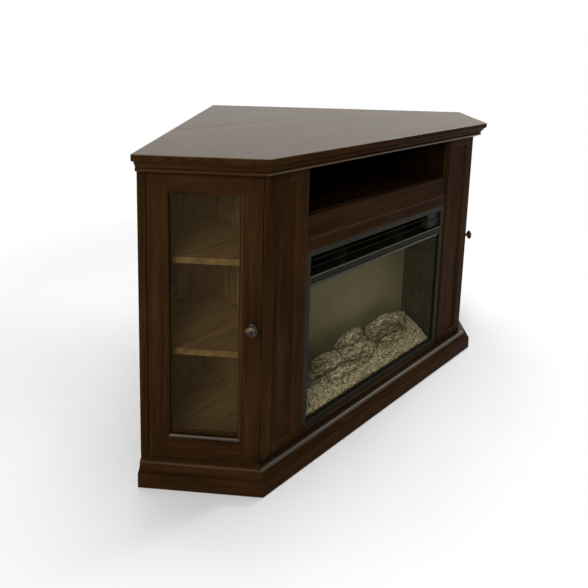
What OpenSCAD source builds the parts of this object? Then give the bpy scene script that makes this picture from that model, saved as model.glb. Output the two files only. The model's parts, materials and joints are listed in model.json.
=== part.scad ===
// Corner media fireplace: a five-sided cabinet with an electric firebox, a glazed cupboard in each
// 45 degree wing and a drop leaf that fills the rear corner. Millimetres, +Z up, -Y is the front.

/* [Overall] */
// Width of the front edge of the top
front_w = 904; // [896:1:912]
// How far each wing reaches out sideways, and back by as much
wing_run = 202; // [196:1:208]
// Height of the top surface above the floor
overall_h = 762; // [755:1:790]

/* [Top] */
// Thickness of the top and of the drop leaf
top_t = 17; // [16:1:19]
// Depth of the drop leaf, from its seam to the rear corner
leaf_d = 440; // [436:0.1:441]
// Open width of the seam between the fixed top and the leaf
seam_gap = 1; // [0.8:0.1:1.5]
// Overhang of the top past the front and wing faces
overhang = 34; // [33:0.5:36]
// Overhang of the top past the two rear sides
rear_overhang = 1; // [0.5:0.5:3]

/* [Boards] */
// Thickness of side panels, partitions and rails
board_t = 18; // [16:1:18]
// Thickness of the bottom panel
floor_t = 18; // [16:1:18]
// Height of the top of the bottom panel
floor_z = 57; // [56.5:0.5:58]
// Thickness of the back panel
back_t = 5; // [4:1:6]
// Distance from the leaf seam forward to the rear face of the back panel
back_in = 8; // [8:0.5:10]

/* [Base] */
// Height of the flat plinth face
plinth_h = 36; // [34:1:37]
// Height of the base moulding
base_h = 55; // [54:0.5:56]
// Projection of the plinth past the cabinet faces
plinth_out = 32; // [30:1:34]
// Thickness of the floor glides, which lift the plinth
glide_t = 2; // [1:0.5:3]
// Radius of a floor glide
glide_r = 9; // [7:1:9]

/* [Front] */
// Half width of the opening between the pilasters
bay_half = 304; // [302:1:306]
// Depth of the pilaster panels, and setback of header and firebox
setback = 6; // [4:1:8]
// Width of a pilaster stile beside its sunk panel
pilaster_stile = 33; // [30:1:36]
// Height of the open media bay, from its shelf to the underside of the top
bay_h = 143; // [139:1:147]
// Height of the header
header_h = 85; // [82:1:86]
// Height of the header's proud lower strip
strip_h = 30; // [24:1:38]
// Thickness of the media shelf
media_t = 18; // [16:1:18]

/* [Doors] */
// Open gap round a door
door_gap = 2; // [1.6:0.1:2.4]
// Thickness of a door
door_t = 19; // [18:0.5:20]
// Width of the stiles
stile_w = 39.5; // [38:0.1:42]
// Height of the top rail
rail_top = 34; // [32:1:38]
// Height of the bottom rail
rail_low = 45; // [42:1:48]
// Width of the sticking inside the stiles and rails
sticking = 8; // [6:1:9]
// Thickness of the door glass
pane_t = 3; // [3:0.5:4]
// Radius of a knob
knob_r = 13.5; // [12:0.5:14]
// Height of the knobs
knob_z = 382; // [350:1:420]

/* [Shelves] */
// Thickness of the cupboard shelves
shelf_t = 15; // [12:1:16]
// Heights of the upper faces of the cupboard shelves
shelf_z = [297, 517];
// Setback of a shelf's front edge behind the wing face
shelf_back = 40; // [36:1:60]
// Radius of a shelf pin
pin_r = 2.5; // [2.4:0.1:3]

/* [Firebox] */
// Width of the firebox frame's sides
frame_side = 18.8; // [17:0.1:21]
// Height of the lower edge of the glazed opening
glass_low = 75; // [70:1:80]
// Distance from the header down to the vent slot
vent_drop = 16; // [14:1:18]
// Height of the vent slot
vent_h = 51; // [49:1:52]
// Height of the outlet bar
outlet_h = 21; // [20:1:23]
// Thickness of the firebox glass
fire_glass_t = 4; // [3:0.5:5]
// Depth of the steel casing
casing_d = 200; // [190:5:220]
// Sheet thickness of the casing
sheet_t = 1.5; // [1:0.5:2]

/* [Hidden] */
$fn = 48;
SQ = sqrt(2);
half_f = front_w / 2;
half_w = half_f + wing_run;
depth = wing_run + half_w;
seam_y = depth - leaf_d;
back_y = seam_y - back_in;
top_low = overall_h - top_t;
header_top = top_low - bay_h;
header_low = header_top - header_h;
header_step = header_low + strip_h;
vent_top = header_low - vent_drop;
grille_z = [vent_top - vent_h - outlet_h, vent_top - vent_h];
cornice_drop = 28;
rail_z = top_low - cornice_drop;
door_top = rail_z - door_gap;
face_y = overhang;
recess_y = face_y + setback;
pilaster_t = 18;
inner_y = face_y + pilaster_t;
corner_x = half_f - overhang * (SQ - 1);
wing_len = (half_w - corner_x) * SQ - overhang - rear_overhang;
side_u = wing_len - board_t;
door_u0 = door_gap / 2;
door_u1 = side_u - door_gap;
door_low = base_h + 2;
liner_y = back_y - back_t;
side_end = (liner_y - face_y) * SQ - side_u;
part_x = bay_half + board_t;
moulding_end = wing_len - 3;
wood = "#3a2418";
inner_wood = "#4a3a26";
black = "#22241f";
steel = "#8a8a86";
bronze = "#2c2825";

// ---- plan geometry: y is measured back from the front edge of the top ----

// Corner of the plan where the front meets the right wing, moved in by i
function front_corner(i) = [half_f - i * (SQ - 1), i];
// Corner where the right wing meets the right rear side, moved in by i and by r
function rear_corner(i, r) = [half_w - (i + r) / SQ, wing_run + (i - r) / SQ];
// Point of the right rear side, moved in by r, at a given y
function rear_side(r, y) = [depth - r * SQ - y, y];
// Point at distance u along the right wing face and v behind it
function wing_point(u, v) = [corner_x + (u - v) / SQ, face_y + (u + v) / SQ];
// Where the line v behind the right wing face crosses a given y
function behind_wing(v, y) = [corner_x - face_y - v * SQ + y, y];
// Where the line at distance u along the right wing crosses a given y
function across_wing(u, y) = [corner_x + face_y + u * SQ - y, y];
function mirrored(points) = [for (i = [len(points) - 1:-1:0]) [-points[i][0], points[i][1]]];
function both_sides(points) = concat(points, mirrored(points));
function arc(c, r, a0, a1, n) =
  [for (k = [0:n]) c + r * [cos(a0 + (a1 - a0) * k / n), sin(a0 + (a1 - a0) * k / n)]];

module placed() { translate([0, -depth / 2, 0]) children(); }
module block(low, high) { translate(low) cube(high - low); }
module slab(points, z0, z1) { translate([0, 0, z0]) linear_extrude(z1 - z0) polygon(points); }
// Children drawn in the right wing's own axes: x along the wing, y inward from its face
module right_wing() {
  placed() translate([corner_x, face_y, 0]) rotate([0, 0, 45]) children();
}
module left_wing() { mirror([1, 0, 0]) right_wing() children(); }
// A cylinder from y0 to y1 at x and z
module peg(x, z, y0, y1, r) {
  translate([x, y0, z]) rotate([-90, 0, 0]) cylinder(h = y1 - y0, r = r);
}
// A cylinder along x from x0 to x1 at y and z
module rod(x0, x1, y, z, r) {
  translate([x0, y, z]) rotate([0, 90, 0]) cylinder(h = x1 - x0, r = r);
}

// ---- top ----
module top_panel() {
  color(wood) placed() slab(both_sides([
    front_corner(0), rear_corner(0, 0), rear_side(0, seam_y - seam_gap / 2)
  ]), top_low, overall_h);
}
module drop_leaf() {
  color(wood) placed() slab(concat(
    mirrored([rear_side(0, seam_y + seam_gap / 2)]),
    [rear_side(0, seam_y + seam_gap / 2), rear_side(0, depth)]
  ), top_low, overall_h);
}

// ---- leaf hinges: their axis lies under the seam, behind the back panel ----
leaf_knuckle_r = 3.4;
leaf_pin_r = 1.6;
leaf_plate_t = 1.6;
leaf_knuckle_l = 12;
leaf_axis_y = back_y + leaf_knuckle_r + 1;
leaf_axis_z = top_low - leaf_knuckle_r - 0.6;
leaf_hinge_x = [190 - leaf_d, 0, leaf_d - 190];
leaf_plate_h = 34;
leaf_flap_d = 32;
leaf_screw_r = 2;
leaf_screw_pitch = 20;
leaf_gap = 0.4;
pin_play = 0.05;
knuckle_gap = 0.3;
module leaf_knuckle(x, k, bore) {
  x0 = x + (k - 2.5) * leaf_knuckle_l + knuckle_gap / 2;
  x1 = x0 + leaf_knuckle_l - knuckle_gap;
  difference() {
    rod(x0, x1, leaf_axis_y, leaf_axis_z, leaf_knuckle_r);
    if (bore) rod(x0 - 1, x1 + 1, leaf_axis_y, leaf_axis_z, leaf_pin_r + pin_play);
  }
}
module leaf_hinge_plates() {
  half_l = 2.5 * leaf_knuckle_l;
  plate_z = leaf_axis_z - leaf_knuckle_r - 2.6;
  color(steel) placed() for (x = leaf_hinge_x) {
    rod(x - half_l, x + half_l, leaf_axis_y, leaf_axis_z, leaf_pin_r);
    for (k = [0, 2, 4]) {
      x0 = x + (k - 2.5) * leaf_knuckle_l + knuckle_gap / 2;
      leaf_knuckle(x, k, false);
      x1 = x0 + leaf_knuckle_l - knuckle_gap;
      block([x0, back_y, plate_z - 2], [x1, back_y + leaf_plate_t, leaf_axis_z]);
    }
    difference() {
      block([x - half_l, back_y, plate_z - leaf_plate_h], [x + half_l, back_y + leaf_plate_t, plate_z]);
      for (k = [-1, 0, 1])
        peg(x + k * leaf_screw_pitch, plate_z - leaf_plate_h / 2, back_y - 1, back_y + 3, leaf_screw_r);
    }
  }
}
module leaf_hinge_flaps() {
  half_l = 2.5 * leaf_knuckle_l;
  leaf_edge = seam_y + seam_gap / 2;
  flap_low = top_low - 2;
  color(steel) placed() for (x = leaf_hinge_x) {
    for (k = [1, 3]) {
      x0 = x + (k - 2.5) * leaf_knuckle_l + knuckle_gap / 2;
      leaf_knuckle(x, k, true);
      x1 = x0 + leaf_knuckle_l - knuckle_gap;
      block([x0, leaf_axis_y + leaf_pin_r + 0.3, flap_low], [x1, leaf_edge + 2, top_low - leaf_gap]);
    }
    difference() {
      block([x - half_l, leaf_edge, flap_low], [x + half_l, leaf_edge + leaf_flap_d, top_low]);
      for (k = [-1, 0, 1]) translate([x + k * leaf_screw_pitch, leaf_edge + leaf_flap_d / 2, flap_low - 1])
        cylinder(h = 4, r = leaf_screw_r);
    }
  }
}

// Half width of the space between the side panels at the back
rear_x = across_wing(side_u, liner_y)[0];

// ---- mouldings: profile points are [projection, height] ----
bead_c = [15.5, top_low - 18.5];
bead_r = 4.5;
cornice_profile = concat(
  [[0, top_low - cornice_drop], [5, top_low - cornice_drop], [12, bead_c[1] - bead_r - 1]],
  arc(bead_c, bead_r, -90, 75, 7),
  arc([29, top_low - 13], 9.5, 180, 108, 5),
  [[26.1, top_low], [0, top_low]]
);
base_bead_r = 6.5;
base_bead_c = [11.5, base_h - base_bead_r];
base_profile = concat(
  [[-board_t, glide_t], [plinth_out, glide_t], [plinth_out, plinth_h], [plinth_out - 0.6, plinth_h + 1]],
  arc([plinth_out - 2.5, plinth_h + 13.5], 12, 270, 200, 6),
  arc(base_bead_c, base_bead_r, -25, 90, 7),
  [[0, base_h], [0, floor_z - floor_t], [-board_t, floor_z - floor_t]]
);
// Ends of the mitre line, out in front of the face and in behind it
mitre_reach = plinth_out + board_t + 10;
mitre_out = [corner_x + mitre_reach * (SQ - 1), face_y - mitre_reach];
mitre_in = [corner_x - mitre_reach * (SQ - 1), face_y + mitre_reach];
// Plan of everything on the right wing's side of the mitre
wing_side = [mitre_out, [half_w + mitre_reach, mitre_out[1]], [half_w + mitre_reach, depth],
  [mitre_in[0], depth], mitre_in];
module strip(profile, from, to) {
  translate([from, 0, 0]) rotate([90, 0, 90]) linear_extrude(to - from)
    polygon([for (p = profile) [-p[0], p[1]]]);
}
module front_moulding(profile) {
  placed() intersection() {
    translate([0, face_y, 0]) strip(profile, -half_w, half_w);
    slab(both_sides([mitre_out, mitre_in]), -1, overall_h);
  }
}
module right_moulding(profile) {
  intersection() {
    right_wing() strip(profile, -mitre_reach, moulding_end);
    placed() slab(wing_side, -1, overall_h);
  }
}
module cornice_front() { color(wood) front_moulding(cornice_profile); }
module cornice_right() { color(wood) right_moulding(cornice_profile); }
module cornice_left() { mirror([1, 0, 0]) cornice_right(); }
module plinth_front() { color(wood) front_moulding(base_profile); }
module plinth_right() {
  color(wood) difference() {
    right_moulding(base_profile);
    right_wing() block([side_u, 0, 0], [wing_len + 1, board_t + 1, floor_z]);
  }
}
module plinth_left() { mirror([1, 0, 0]) plinth_right(); }

// Floor glides under the plinth boards and under the kick board
module glide(x, y, r) { translate([x, y, 0]) cylinder(h = glide_t, r = r); }
module glides() {
  under = plinth_out / 2 - 6;
  kick_x = rear_x - 46;
  color(black) {
    for (u = [plinth_out, wing_len - glide_r - 5]) {
      right_wing() glide(u, -under, glide_r);
      left_wing() glide(u, -under, glide_r);
    }
    placed() for (x = [-bay_half, bay_half]) glide(x * 2 / 3, face_y - under, glide_r);
    placed() for (x = [-kick_x, 0, kick_x]) glide(x, liner_y - board_t / 2, board_t / 2 - 1);
  }
}

// ---- carcass ----
// Rails under the top: behind the cornice, over the doors and along the back
module wing_rail() {
  slab([[-door_u0, door_u0], [0, 0], [side_u, 0], [side_u, board_t], [-door_u0, board_t]], rail_z, top_low);
}
module top_rails() {
  color(wood) {
    placed() block([-bay_half, recess_y, rail_z], [bay_half, recess_y + board_t, top_low]);
    placed() block([-rear_x, liner_y - board_t, rail_z], [-part_x, liner_y, top_low]);
    placed() block([part_x, liner_y - board_t, rail_z], [rear_x, liner_y, top_low]);
    placed() block([-bay_half, liner_y - board_t, rail_z], [bay_half, liner_y, top_low]);
    right_wing() wing_rail();
    left_wing() wing_rail();
  }
}
// Pilaster board with a sunk panel; its outer end is cut square to the wing face, beside the door
module pilaster_right() {
  bevel = door_u0 * SQ;
  panel_x0 = bay_half + pilaster_stile;
  panel_x1 = corner_x - pilaster_stile;
  color(wood) placed() difference() {
    slab([[bay_half, face_y], [corner_x - bevel, face_y], [corner_x - bevel - pilaster_t, inner_y],
      [bay_half, inner_y]], floor_z, top_low);
    block([panel_x0, face_y - 1, floor_z + 23], [panel_x1, recess_y, top_low - 50]);
  }
}
module pilaster_left() { mirror([1, 0, 0]) pilaster_right(); }
// Header with a proud lower strip
module header_board() {
  color(wood) placed() {
    block([-bay_half, recess_y, header_step], [bay_half, recess_y + board_t, header_top]);
    block([-bay_half, recess_y - 2, header_low], [bay_half, recess_y + board_t, header_step]);
  }
}
module media_shelf() {
  color(wood) placed()
    block([-bay_half, recess_y + board_t, header_top - media_t], [bay_half, liner_y, header_top]);
}
module partition_right() {
  color(inner_wood) placed() difference() {
    block([bay_half, inner_y, floor_z], [part_x, liner_y, top_low]);
    pin_holes_inner();
  }
}
module partition_left() { mirror([1, 0, 0]) partition_right(); }
module side_panel_right() {
  color(wood) difference() {
    intersection() {
      right_wing() block([side_u, 0, glide_t], [wing_len, side_end + 1, top_low]);
      placed() block([0, 0, 0], [half_w, liner_y, overall_h]);
    }
    right_wing() pin_holes_outer();
  }
}
module side_panel_left() { mirror([1, 0, 0]) side_panel_right(); }
module bottom_panel() {
  color(inner_wood) placed() slab(both_sides([
    front_corner(overhang), wing_point(side_u, 0), across_wing(side_u, liner_y)
  ]), floor_z - floor_t, floor_z);
}
module kick_board() {
  color(wood) placed()
    block([-rear_x, liner_y - board_t, glide_t], [rear_x, liner_y, floor_z - floor_t]);
}
grommet_r = 25;
grommet_wall = 4;
grommet_at = [[0, (header_top + rail_z) / 2], [-bay_half * 2 / 3, floor_z + 63]];
module back_panel() {
  x = across_wing(wing_len, back_y)[0] - 1;
  color(inner_wood) placed() difference() {
    block([-x, liner_y, floor_z - floor_t - 19], [x, back_y, leaf_axis_z - 1]);
    for (g = grommet_at) peg(g[0], g[1], liner_y - 1, back_y + 1, grommet_r + grommet_wall);
  }
}
module cable_grommets() {
  color(black) placed() for (g = grommet_at) difference() {
    union() {
      peg(g[0], g[1], liner_y, back_y, grommet_r + grommet_wall);
      peg(g[0], g[1], liner_y - 2, liner_y, grommet_r + grommet_wall + 4);
    }
    peg(g[0], g[1], liner_y - 3, back_y + 1, grommet_r);
  }
}

// ---- cupboard shelves and their pins ----
shelf_play = 0.5;
module cupboard_shelf(z) {
  color(inner_wood) placed() slab([
    [part_x + shelf_play, inner_y + shelf_play],
    behind_wing(shelf_back, inner_y + shelf_play),
    wing_point(side_u - shelf_play, shelf_back),
    across_wing(side_u - shelf_play, liner_y - shelf_play),
    [part_x + shelf_play, liner_y - shelf_play]
  ], z - shelf_t, z);
}
module upper_shelf_right() { cupboard_shelf(shelf_z[1]); }
module lower_shelf_right() { cupboard_shelf(shelf_z[0]); }
module upper_shelf_left() { mirror([1, 0, 0]) upper_shelf_right(); }
module lower_shelf_left() { mirror([1, 0, 0]) lower_shelf_right(); }

pin_l = 16;
pin_in = 8;
pin_y = [inner_y + 58, liner_y - 53];
pin_v = [shelf_back + 30, side_end - 39];
// Pin heights below the shelves, and one spare pin between them
function pin_heights() = [for (z = shelf_z) z - shelf_t - pin_r];
spare_pin_z = shelf_z[0] + 4 * shelf_t;
spare_pin_v = pin_v[1] - 25;
module pin_holes_inner() {
  for (y = pin_y, z = pin_heights())
    rod(part_x - pin_in - 0.5, part_x + 1, y, z, pin_r + pin_play);
}
module pin_holes_outer() {
  for (v = pin_v, z = pin_heights())
    rod(side_u - 1, side_u + pin_in + 0.5, v, z, pin_r + pin_play);
  rod(side_u - 1, side_u + pin_in + 0.5, spare_pin_v, spare_pin_z, pin_r + pin_play);
}
module side_pins() {
  u0 = side_u - pin_l + pin_in;
  u1 = side_u + pin_in;
  placed() for (y = pin_y, z = pin_heights()) rod(part_x - pin_in, part_x + pin_l - pin_in, y, z, pin_r);
  right_wing() for (v = pin_v, z = pin_heights()) rod(u0, u1, v, z, pin_r);
  right_wing() rod(u0, u1, spare_pin_v, spare_pin_z, pin_r);
}
module shelf_pins() {
  color(steel) {
    side_pins();
    mirror([1, 0, 0]) side_pins();
  }
}

// ---- doors, drawn in the wing's axes ----
sight_u0 = door_u0 + stile_w + sticking;
sight_u1 = door_u1 - stile_w - sticking;
sight_z0 = door_low + rail_low + sticking;
sight_z1 = door_top - rail_top - sticking;
// A box as wide and tall as the sight opening plus a margin e all round
module sight_box(e, y0, y1) {
  block([sight_u0 - e, y0, sight_z0 - e], [sight_u1 + e, y1, sight_z1 + e]);
}
rebate = 6;
lip_y = 5;
pane_y = 11;
bead_y = pane_y + pane_t;
cup_r = 13;
cup_inset = 18;
cup_depth = 10;
cup_z = [door_low + 93, door_top - 93];
screw_r = 2;
module door_frame() {
  difference() {
    block([door_u0, 0, door_low], [door_u1, door_t, door_top]);
    sight_box(sticking, -1, lip_y);
    sight_box(0, -1, door_t + 1);
    sight_box(rebate, pane_y, door_t + 1);
    for (z = cup_z) peg(door_u1 - cup_inset, z, door_t - cup_depth, door_t + 1, cup_r + 0.1);
    peg(door_u0 + stile_w / 2, knob_z, -1, door_t + 1, screw_r + 0.1);
  }
}
module door_pane() { sight_box(rebate, pane_y, bead_y); }
module glass_beads() {
  difference() {
    sight_box(rebate, bead_y, door_t);
    sight_box(-3, bead_y - 1, door_t + 1);
  }
}
module hinge_cups() {
  cup_u = door_u1 - cup_inset;
  for (z = cup_z) difference() {
    union() {
      peg(cup_u, z, door_t - cup_depth, door_t, cup_r);
      block([cup_u - 10, door_t, z - 20], [cup_u + 10, door_t + 1.2, z + 20]);
    }
    peg(cup_u, z, door_t - cup_depth + 1, door_t + 2, cup_r - 4);
  }
}
hinge_base = [3, 50, 44];
hinge_arm = [8, 52, 14];
hinge_v = 32;
// Cabinet half of a concealed hinge: base plate and arm on the side panel's inner face
module hinge_plate(z) {
  arm_u = side_u - hinge_base[0] - hinge_arm[0];
  translate([side_u - hinge_base[0], hinge_v, z - hinge_base[2] / 2]) cube(hinge_base);
  translate([arm_u, hinge_v - 6, z - hinge_arm[2] / 2]) cube(hinge_arm);
}
module knob() {
  translate([door_u0 + stile_w / 2, 0, knob_z]) rotate([90, 0, 0]) difference() {
    rotate_extrude() polygon(concat(
      [[0, 0], [8, 0], [8, 1.5], [5.5, 3], [4.8, 8], [6, 12]],
      arc([knob_r - 5, 16.5], 5, -60, 60, 6),
      [[8, 22.6], [4, 23.8], [0, 24]]
    ));
    translate([0, 0, -1]) cylinder(h = 14, r = screw_r + 0.05);
  }
}
module knob_screw() {
  u = door_u0 + stile_w / 2;
  peg(u, knob_z, -11, door_t, screw_r);
  peg(u, knob_z, door_t, door_t + 2.2, 4);
}
module right_door_frame() { color(wood) right_wing() door_frame(); }
module left_door_frame() { color(wood) left_wing() door_frame(); }
module right_door_glass() { color("#9fa88f80") right_wing() door_pane(); }
module left_door_glass() { color("#9fa88f80") left_wing() door_pane(); }
module right_glass_beads() { color(inner_wood) right_wing() glass_beads(); }
module left_glass_beads() { color(inner_wood) left_wing() glass_beads(); }
module right_hinge_cups() { color(steel) right_wing() hinge_cups(); }
module left_hinge_cups() { color(steel) left_wing() hinge_cups(); }
module right_knob() { color(bronze) right_wing() knob(); }
module left_knob() { color(bronze) left_wing() knob(); }
module right_knob_screw() { color(steel) right_wing() knob_screw(); }
module left_knob_screw() { color(steel) left_wing() knob_screw(); }
module door_hinge_plates() {
  color(steel) for (z = cup_z) {
    right_wing() hinge_plate(z);
    left_wing() hinge_plate(z);
  }
}
catch_size = [40, 13.6, 15];
// Magnetic catches that stand on the bottom panel behind each door's free edge
module door_catches() {
  color(black) {
    right_wing() translate([24, door_t + 0.4, floor_z]) cube(catch_size);
    left_wing() translate([24, door_t + 0.4, floor_z]) cube(catch_size);
  }
}

// ---- firebox ----
frame_half = bay_half - 1.2;
open_half = frame_half - frame_side;
frame_top = header_low - 1;
flange_t = 5;
flange_y = recess_y + flange_t;
casing_y = flange_y + fire_glass_t;
casing_half = frame_half - 4;
casing_top = frame_top - 4;
casing_back = casing_y + casing_d;
inner_half = casing_half - sheet_t;
tray_z = floor_z + sheet_t;
lid_z = casing_top - sheet_t;
module firebox_frame() {
  color(black) placed() difference() {
    union() {
      block([-frame_half, recess_y, floor_z + 0.2], [frame_half, flange_y, frame_top]);
      block([-frame_half, flange_y, floor_z + 0.2], [frame_half, casing_y + 9, frame_top]);
    }
    block([-open_half, recess_y - 1, glass_low], [open_half, flange_y + 1, vent_top]);
    block([-casing_half, flange_y, floor_z - 1], [casing_half, casing_y + 10, casing_top]);
  }
}
module firebox_glass() {
  color("#6b6a5060") placed()
    block([-casing_half + 0.3, flange_y, floor_z + 0.5], [casing_half - 0.3, casing_y, grille_z[0] + 2.5]);
}
gland_at = [57.3 - inner_half, tray_z + 41.5];
gland_r = 9;
module firebox_casing() {
  color(black) placed() difference() {
    block([-casing_half, casing_y, floor_z], [casing_half, casing_back, casing_top]);
    block([-inner_half, casing_y - 1, tray_z], [inner_half, casing_back - sheet_t, lid_z]);
    peg(gland_at[0], gland_at[1], casing_back - 5, casing_back + 1, gland_r - 2);
  }
}
// Perforated bar between the vent slot and the glass
module outlet_grille() {
  slot_pitch = 10;
  slots = floor((2 * open_half - 16) / slot_pitch);
  z0 = grille_z[0];
  z1 = grille_z[1];
  color(black) placed() difference() {
    block([-open_half, recess_y + 0.3, z0], [open_half, flange_y, z1]);
    block([-open_half - 1, recess_y - 1, z0 + 2.5], [open_half + 1, recess_y + 2, z1 - 2.5]);
    for (k = [0:slots]) translate([(k - slots / 2) * slot_pitch - 2, recess_y, z0 + 5])
      cube([4, 10, z1 - z0 - 10]);
  }
}
control_w = 69.3;
control_x0 = inner_half - control_w;
louvre_z = [grille_z[1] + 16, grille_z[1] + 34];
module vent_louvres() {
  color(black) placed() for (z = louvre_z) translate([-inner_half, casing_y + 2, z]) rotate([-35, 0, 0])
    cube([control_x0 + inner_half, 13, 1.2]);
}
bed_profile = [[3, 0], [3, 15], [16, 26], [45, 44], [75, 58], [96, 56], [96, 0]];
bed_half = open_half - 4;
module bed_solid() {
  translate([-bed_half, casing_y, tray_z]) rotate([90, 0, 90]) linear_extrude(2 * bed_half)
    polygon(bed_profile);
}
module ember_bed() { color("#8a7a5c") placed() bed_solid(); }
// Each log: [x, depth behind the casing's front, z] at both ends, and both radii
logs = [
  [[-212, 34, 146], [-30, 52, 136], 25, 21],
  [[-150, 74, 152], [-10, 60, 162], 21, 24],
  [[-5, 72, 146], [222, 50, 122], 27, 24],
  [[52, 26, 112], [205, 26, 96], 16, 18],
  [[-178, 20, 108], [-48, 14, 92], 16, 15]
];
module log_piece(a, b, ra, rb) {
  d = b - a;
  l = norm(d);
  translate([a[0], casing_y + a[1], a[2]]) rotate([0, acos(d[2] / l), atan2(d[1], d[0])])
    cylinder(h = l, r1 = ra, r2 = rb);
}
module log_set() {
  color("#6d6048") placed() difference() {
    union() { for (g = logs) log_piece(g[0], g[1], g[2], g[3]); }
    bed_solid();
    block([-inner_half, casing_y - logs[2][2], 0], [inner_half, casing_y + 2, grille_z[0]]);
  }
}
screen_y = casing_y + 120;
heater_t = 2;
heater_z0 = grille_z[0] - heater_t;
module flame_screen() {
  color("#5c5a48") placed()
    block([-inner_half + 0.3, screen_y, tray_z], [inner_half - 0.3, screen_y + 3, heater_z0 - 2]);
}
// Heater over the fire: a case with a blower inside, blowing forward through the grille.
// Its floor reaches the casing's walls and the glass, and closes the fire chamber below it.
heater_half = 130;
heater_y0 = casing_y + 16;
heater_y1 = casing_back - 20;
wheel_y = heater_y0 + 80;
wheel_z = (grille_z[1] + lid_z) / 2 - 1.25;
wheel_r = 24;
wheel_blade = 7;
shaft_r = 3;
module heater_housing() {
  color(steel) placed() difference() {
    union() {
      block([-heater_half, heater_y0, heater_z0], [heater_half, heater_y1, lid_z]);
      block([-inner_half + 0.3, casing_y + 0.3, heater_z0],
        [inner_half - 0.3, heater_y1, heater_z0 + heater_t]);
    }
    block([heater_t - heater_half, heater_y0 - 1, heater_z0 + heater_t],
      [heater_half - heater_t, heater_y1 - heater_t, lid_z - heater_t]);
    rod(-heater_half - 1, heater_half + 1, wheel_y, wheel_z, shaft_r + pin_play);
  }
}
module blower_wheel() {
  wheel_half = heater_half - 8;
  blades = 12;
  color(bronze) placed() {
    rod(-heater_half, heater_half, wheel_y, wheel_z, shaft_r);
    for (x = [-wheel_half, -1, wheel_half - 2]) rod(x, x + 2, wheel_y, wheel_z, wheel_r);
    for (k = [0:blades - 1]) translate([-wheel_half, wheel_y, wheel_z]) rotate([k * 360 / blades, 0, 0])
      translate([0, wheel_r - wheel_blade - 1, -0.6]) cube([2 * wheel_half, wheel_blade, 1.2]);
  }
}
// Flame effect: a turning rod of foil blades behind the screen
rotor_y = screen_y + 40;
rotor_z = tray_z + 71.5;
rotor_half = 230;
rotor_blade = [26, 40, 1];
rotor_pitch = 40;
support_t = 3;
support_half = 12;
motor_r = 14;
motor_l = 30;
module flame_rotor() {
  blades = floor(2 * rotor_half / rotor_pitch);
  start = -(blades - 1) * rotor_pitch / 2;
  color(steel) placed() {
    rod(-rotor_half - 8, rotor_half + 8, rotor_y, rotor_z, shaft_r);
    for (k = [0:blades - 1]) translate([start + k * rotor_pitch, rotor_y, rotor_z]) rotate([k * 65, 0, 0])
      cube(rotor_blade, center = true);
  }
}
module rotor_supports() {
  color(steel) placed() for (s = [-1, 1]) difference() {
    union() {
      x0 = s > 0 ? rotor_half + 1 : -rotor_half - 1 - support_t;
      block([x0, rotor_y - support_half, tray_z], [x0 + support_t, rotor_y + support_half, rotor_z + motor_r]);
      if (s > 0) rod(x0 + support_t, x0 + support_t + motor_l, rotor_y, rotor_z, motor_r);
    }
    rod(-rotor_half - 9, rotor_half + 9, rotor_y, rotor_z, shaft_r + pin_play);
  }
}
// Control box at the right end of the vent slot, with three push buttons
control_y1 = casing_y + 24;
button_r = 4.5;
button_play = 0.08;
button_pitch = 14;
button_x = [for (k = [0:2]) control_x0 + 16 + k * button_pitch];
button_z = grille_z[1] + 24;
module control_box() {
  color(black) placed() difference() {
    block([control_x0, casing_y, grille_z[1] + 2], [inner_half, control_y1, lid_z]);
    for (x = button_x) peg(x, button_z, casing_y - 1, casing_y + 12, button_r + button_play);
  }
}
module push_button(x) {
  color(steel) placed() peg(x, button_z, casing_y - 3, casing_y + 8, button_r);
}
module power_button() { push_button(button_x[0]); }
module flame_button() { push_button(button_x[1]); }
module heat_button() { push_button(button_x[2]); }
module power_gland() {
  color(black) placed() difference() {
    union() {
      peg(gland_at[0], gland_at[1], casing_back - 5, casing_back, gland_r - 2.2);
      peg(gland_at[0], gland_at[1], casing_back, casing_back + 12, gland_r);
    }
    peg(gland_at[0], gland_at[1], casing_back - 6, casing_back + 13, 4);
  }
}

top_panel();
drop_leaf();
leaf_hinge_plates();
leaf_hinge_flaps();
cornice_front();
cornice_left();
cornice_right();
top_rails();
pilaster_left();
pilaster_right();
header_board();
media_shelf();
partition_left();
partition_right();
side_panel_left();
side_panel_right();
bottom_panel();
back_panel();
cable_grommets();
kick_board();
plinth_front();
plinth_left();
plinth_right();
glides();
upper_shelf_left();
lower_shelf_left();
upper_shelf_right();
lower_shelf_right();
shelf_pins();
door_hinge_plates();
door_catches();
left_door_frame();
left_door_glass();
left_glass_beads();
left_hinge_cups();
left_knob();
left_knob_screw();
right_door_frame();
right_door_glass();
right_glass_beads();
right_hinge_cups();
right_knob();
right_knob_screw();
firebox_casing();
firebox_frame();
firebox_glass();
vent_louvres();
outlet_grille();
ember_bed();
log_set();
flame_screen();
heater_housing();
rotor_supports();
control_box();
power_gland();
flame_rotor();
blower_wheel();
power_button();
flame_button();
heat_button();
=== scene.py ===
"""Looks of the corner fireplace cabinet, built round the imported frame.

Every piece is in metres, in the frame's own axes: +Z up, -Y is the front, +X to the right seen from the
front. Each sub-assembly is a class that shapes its meshes on the bench and dresses them with finishes.
"""

from __future__ import annotations

import json
import logging
import math
import random
from collections.abc import Callable, Iterator, Sequence
from contextlib import contextmanager
from dataclasses import dataclass, field
from enum import Enum

import bmesh
import bpy
from mathutils import Matrix, Vector

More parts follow.
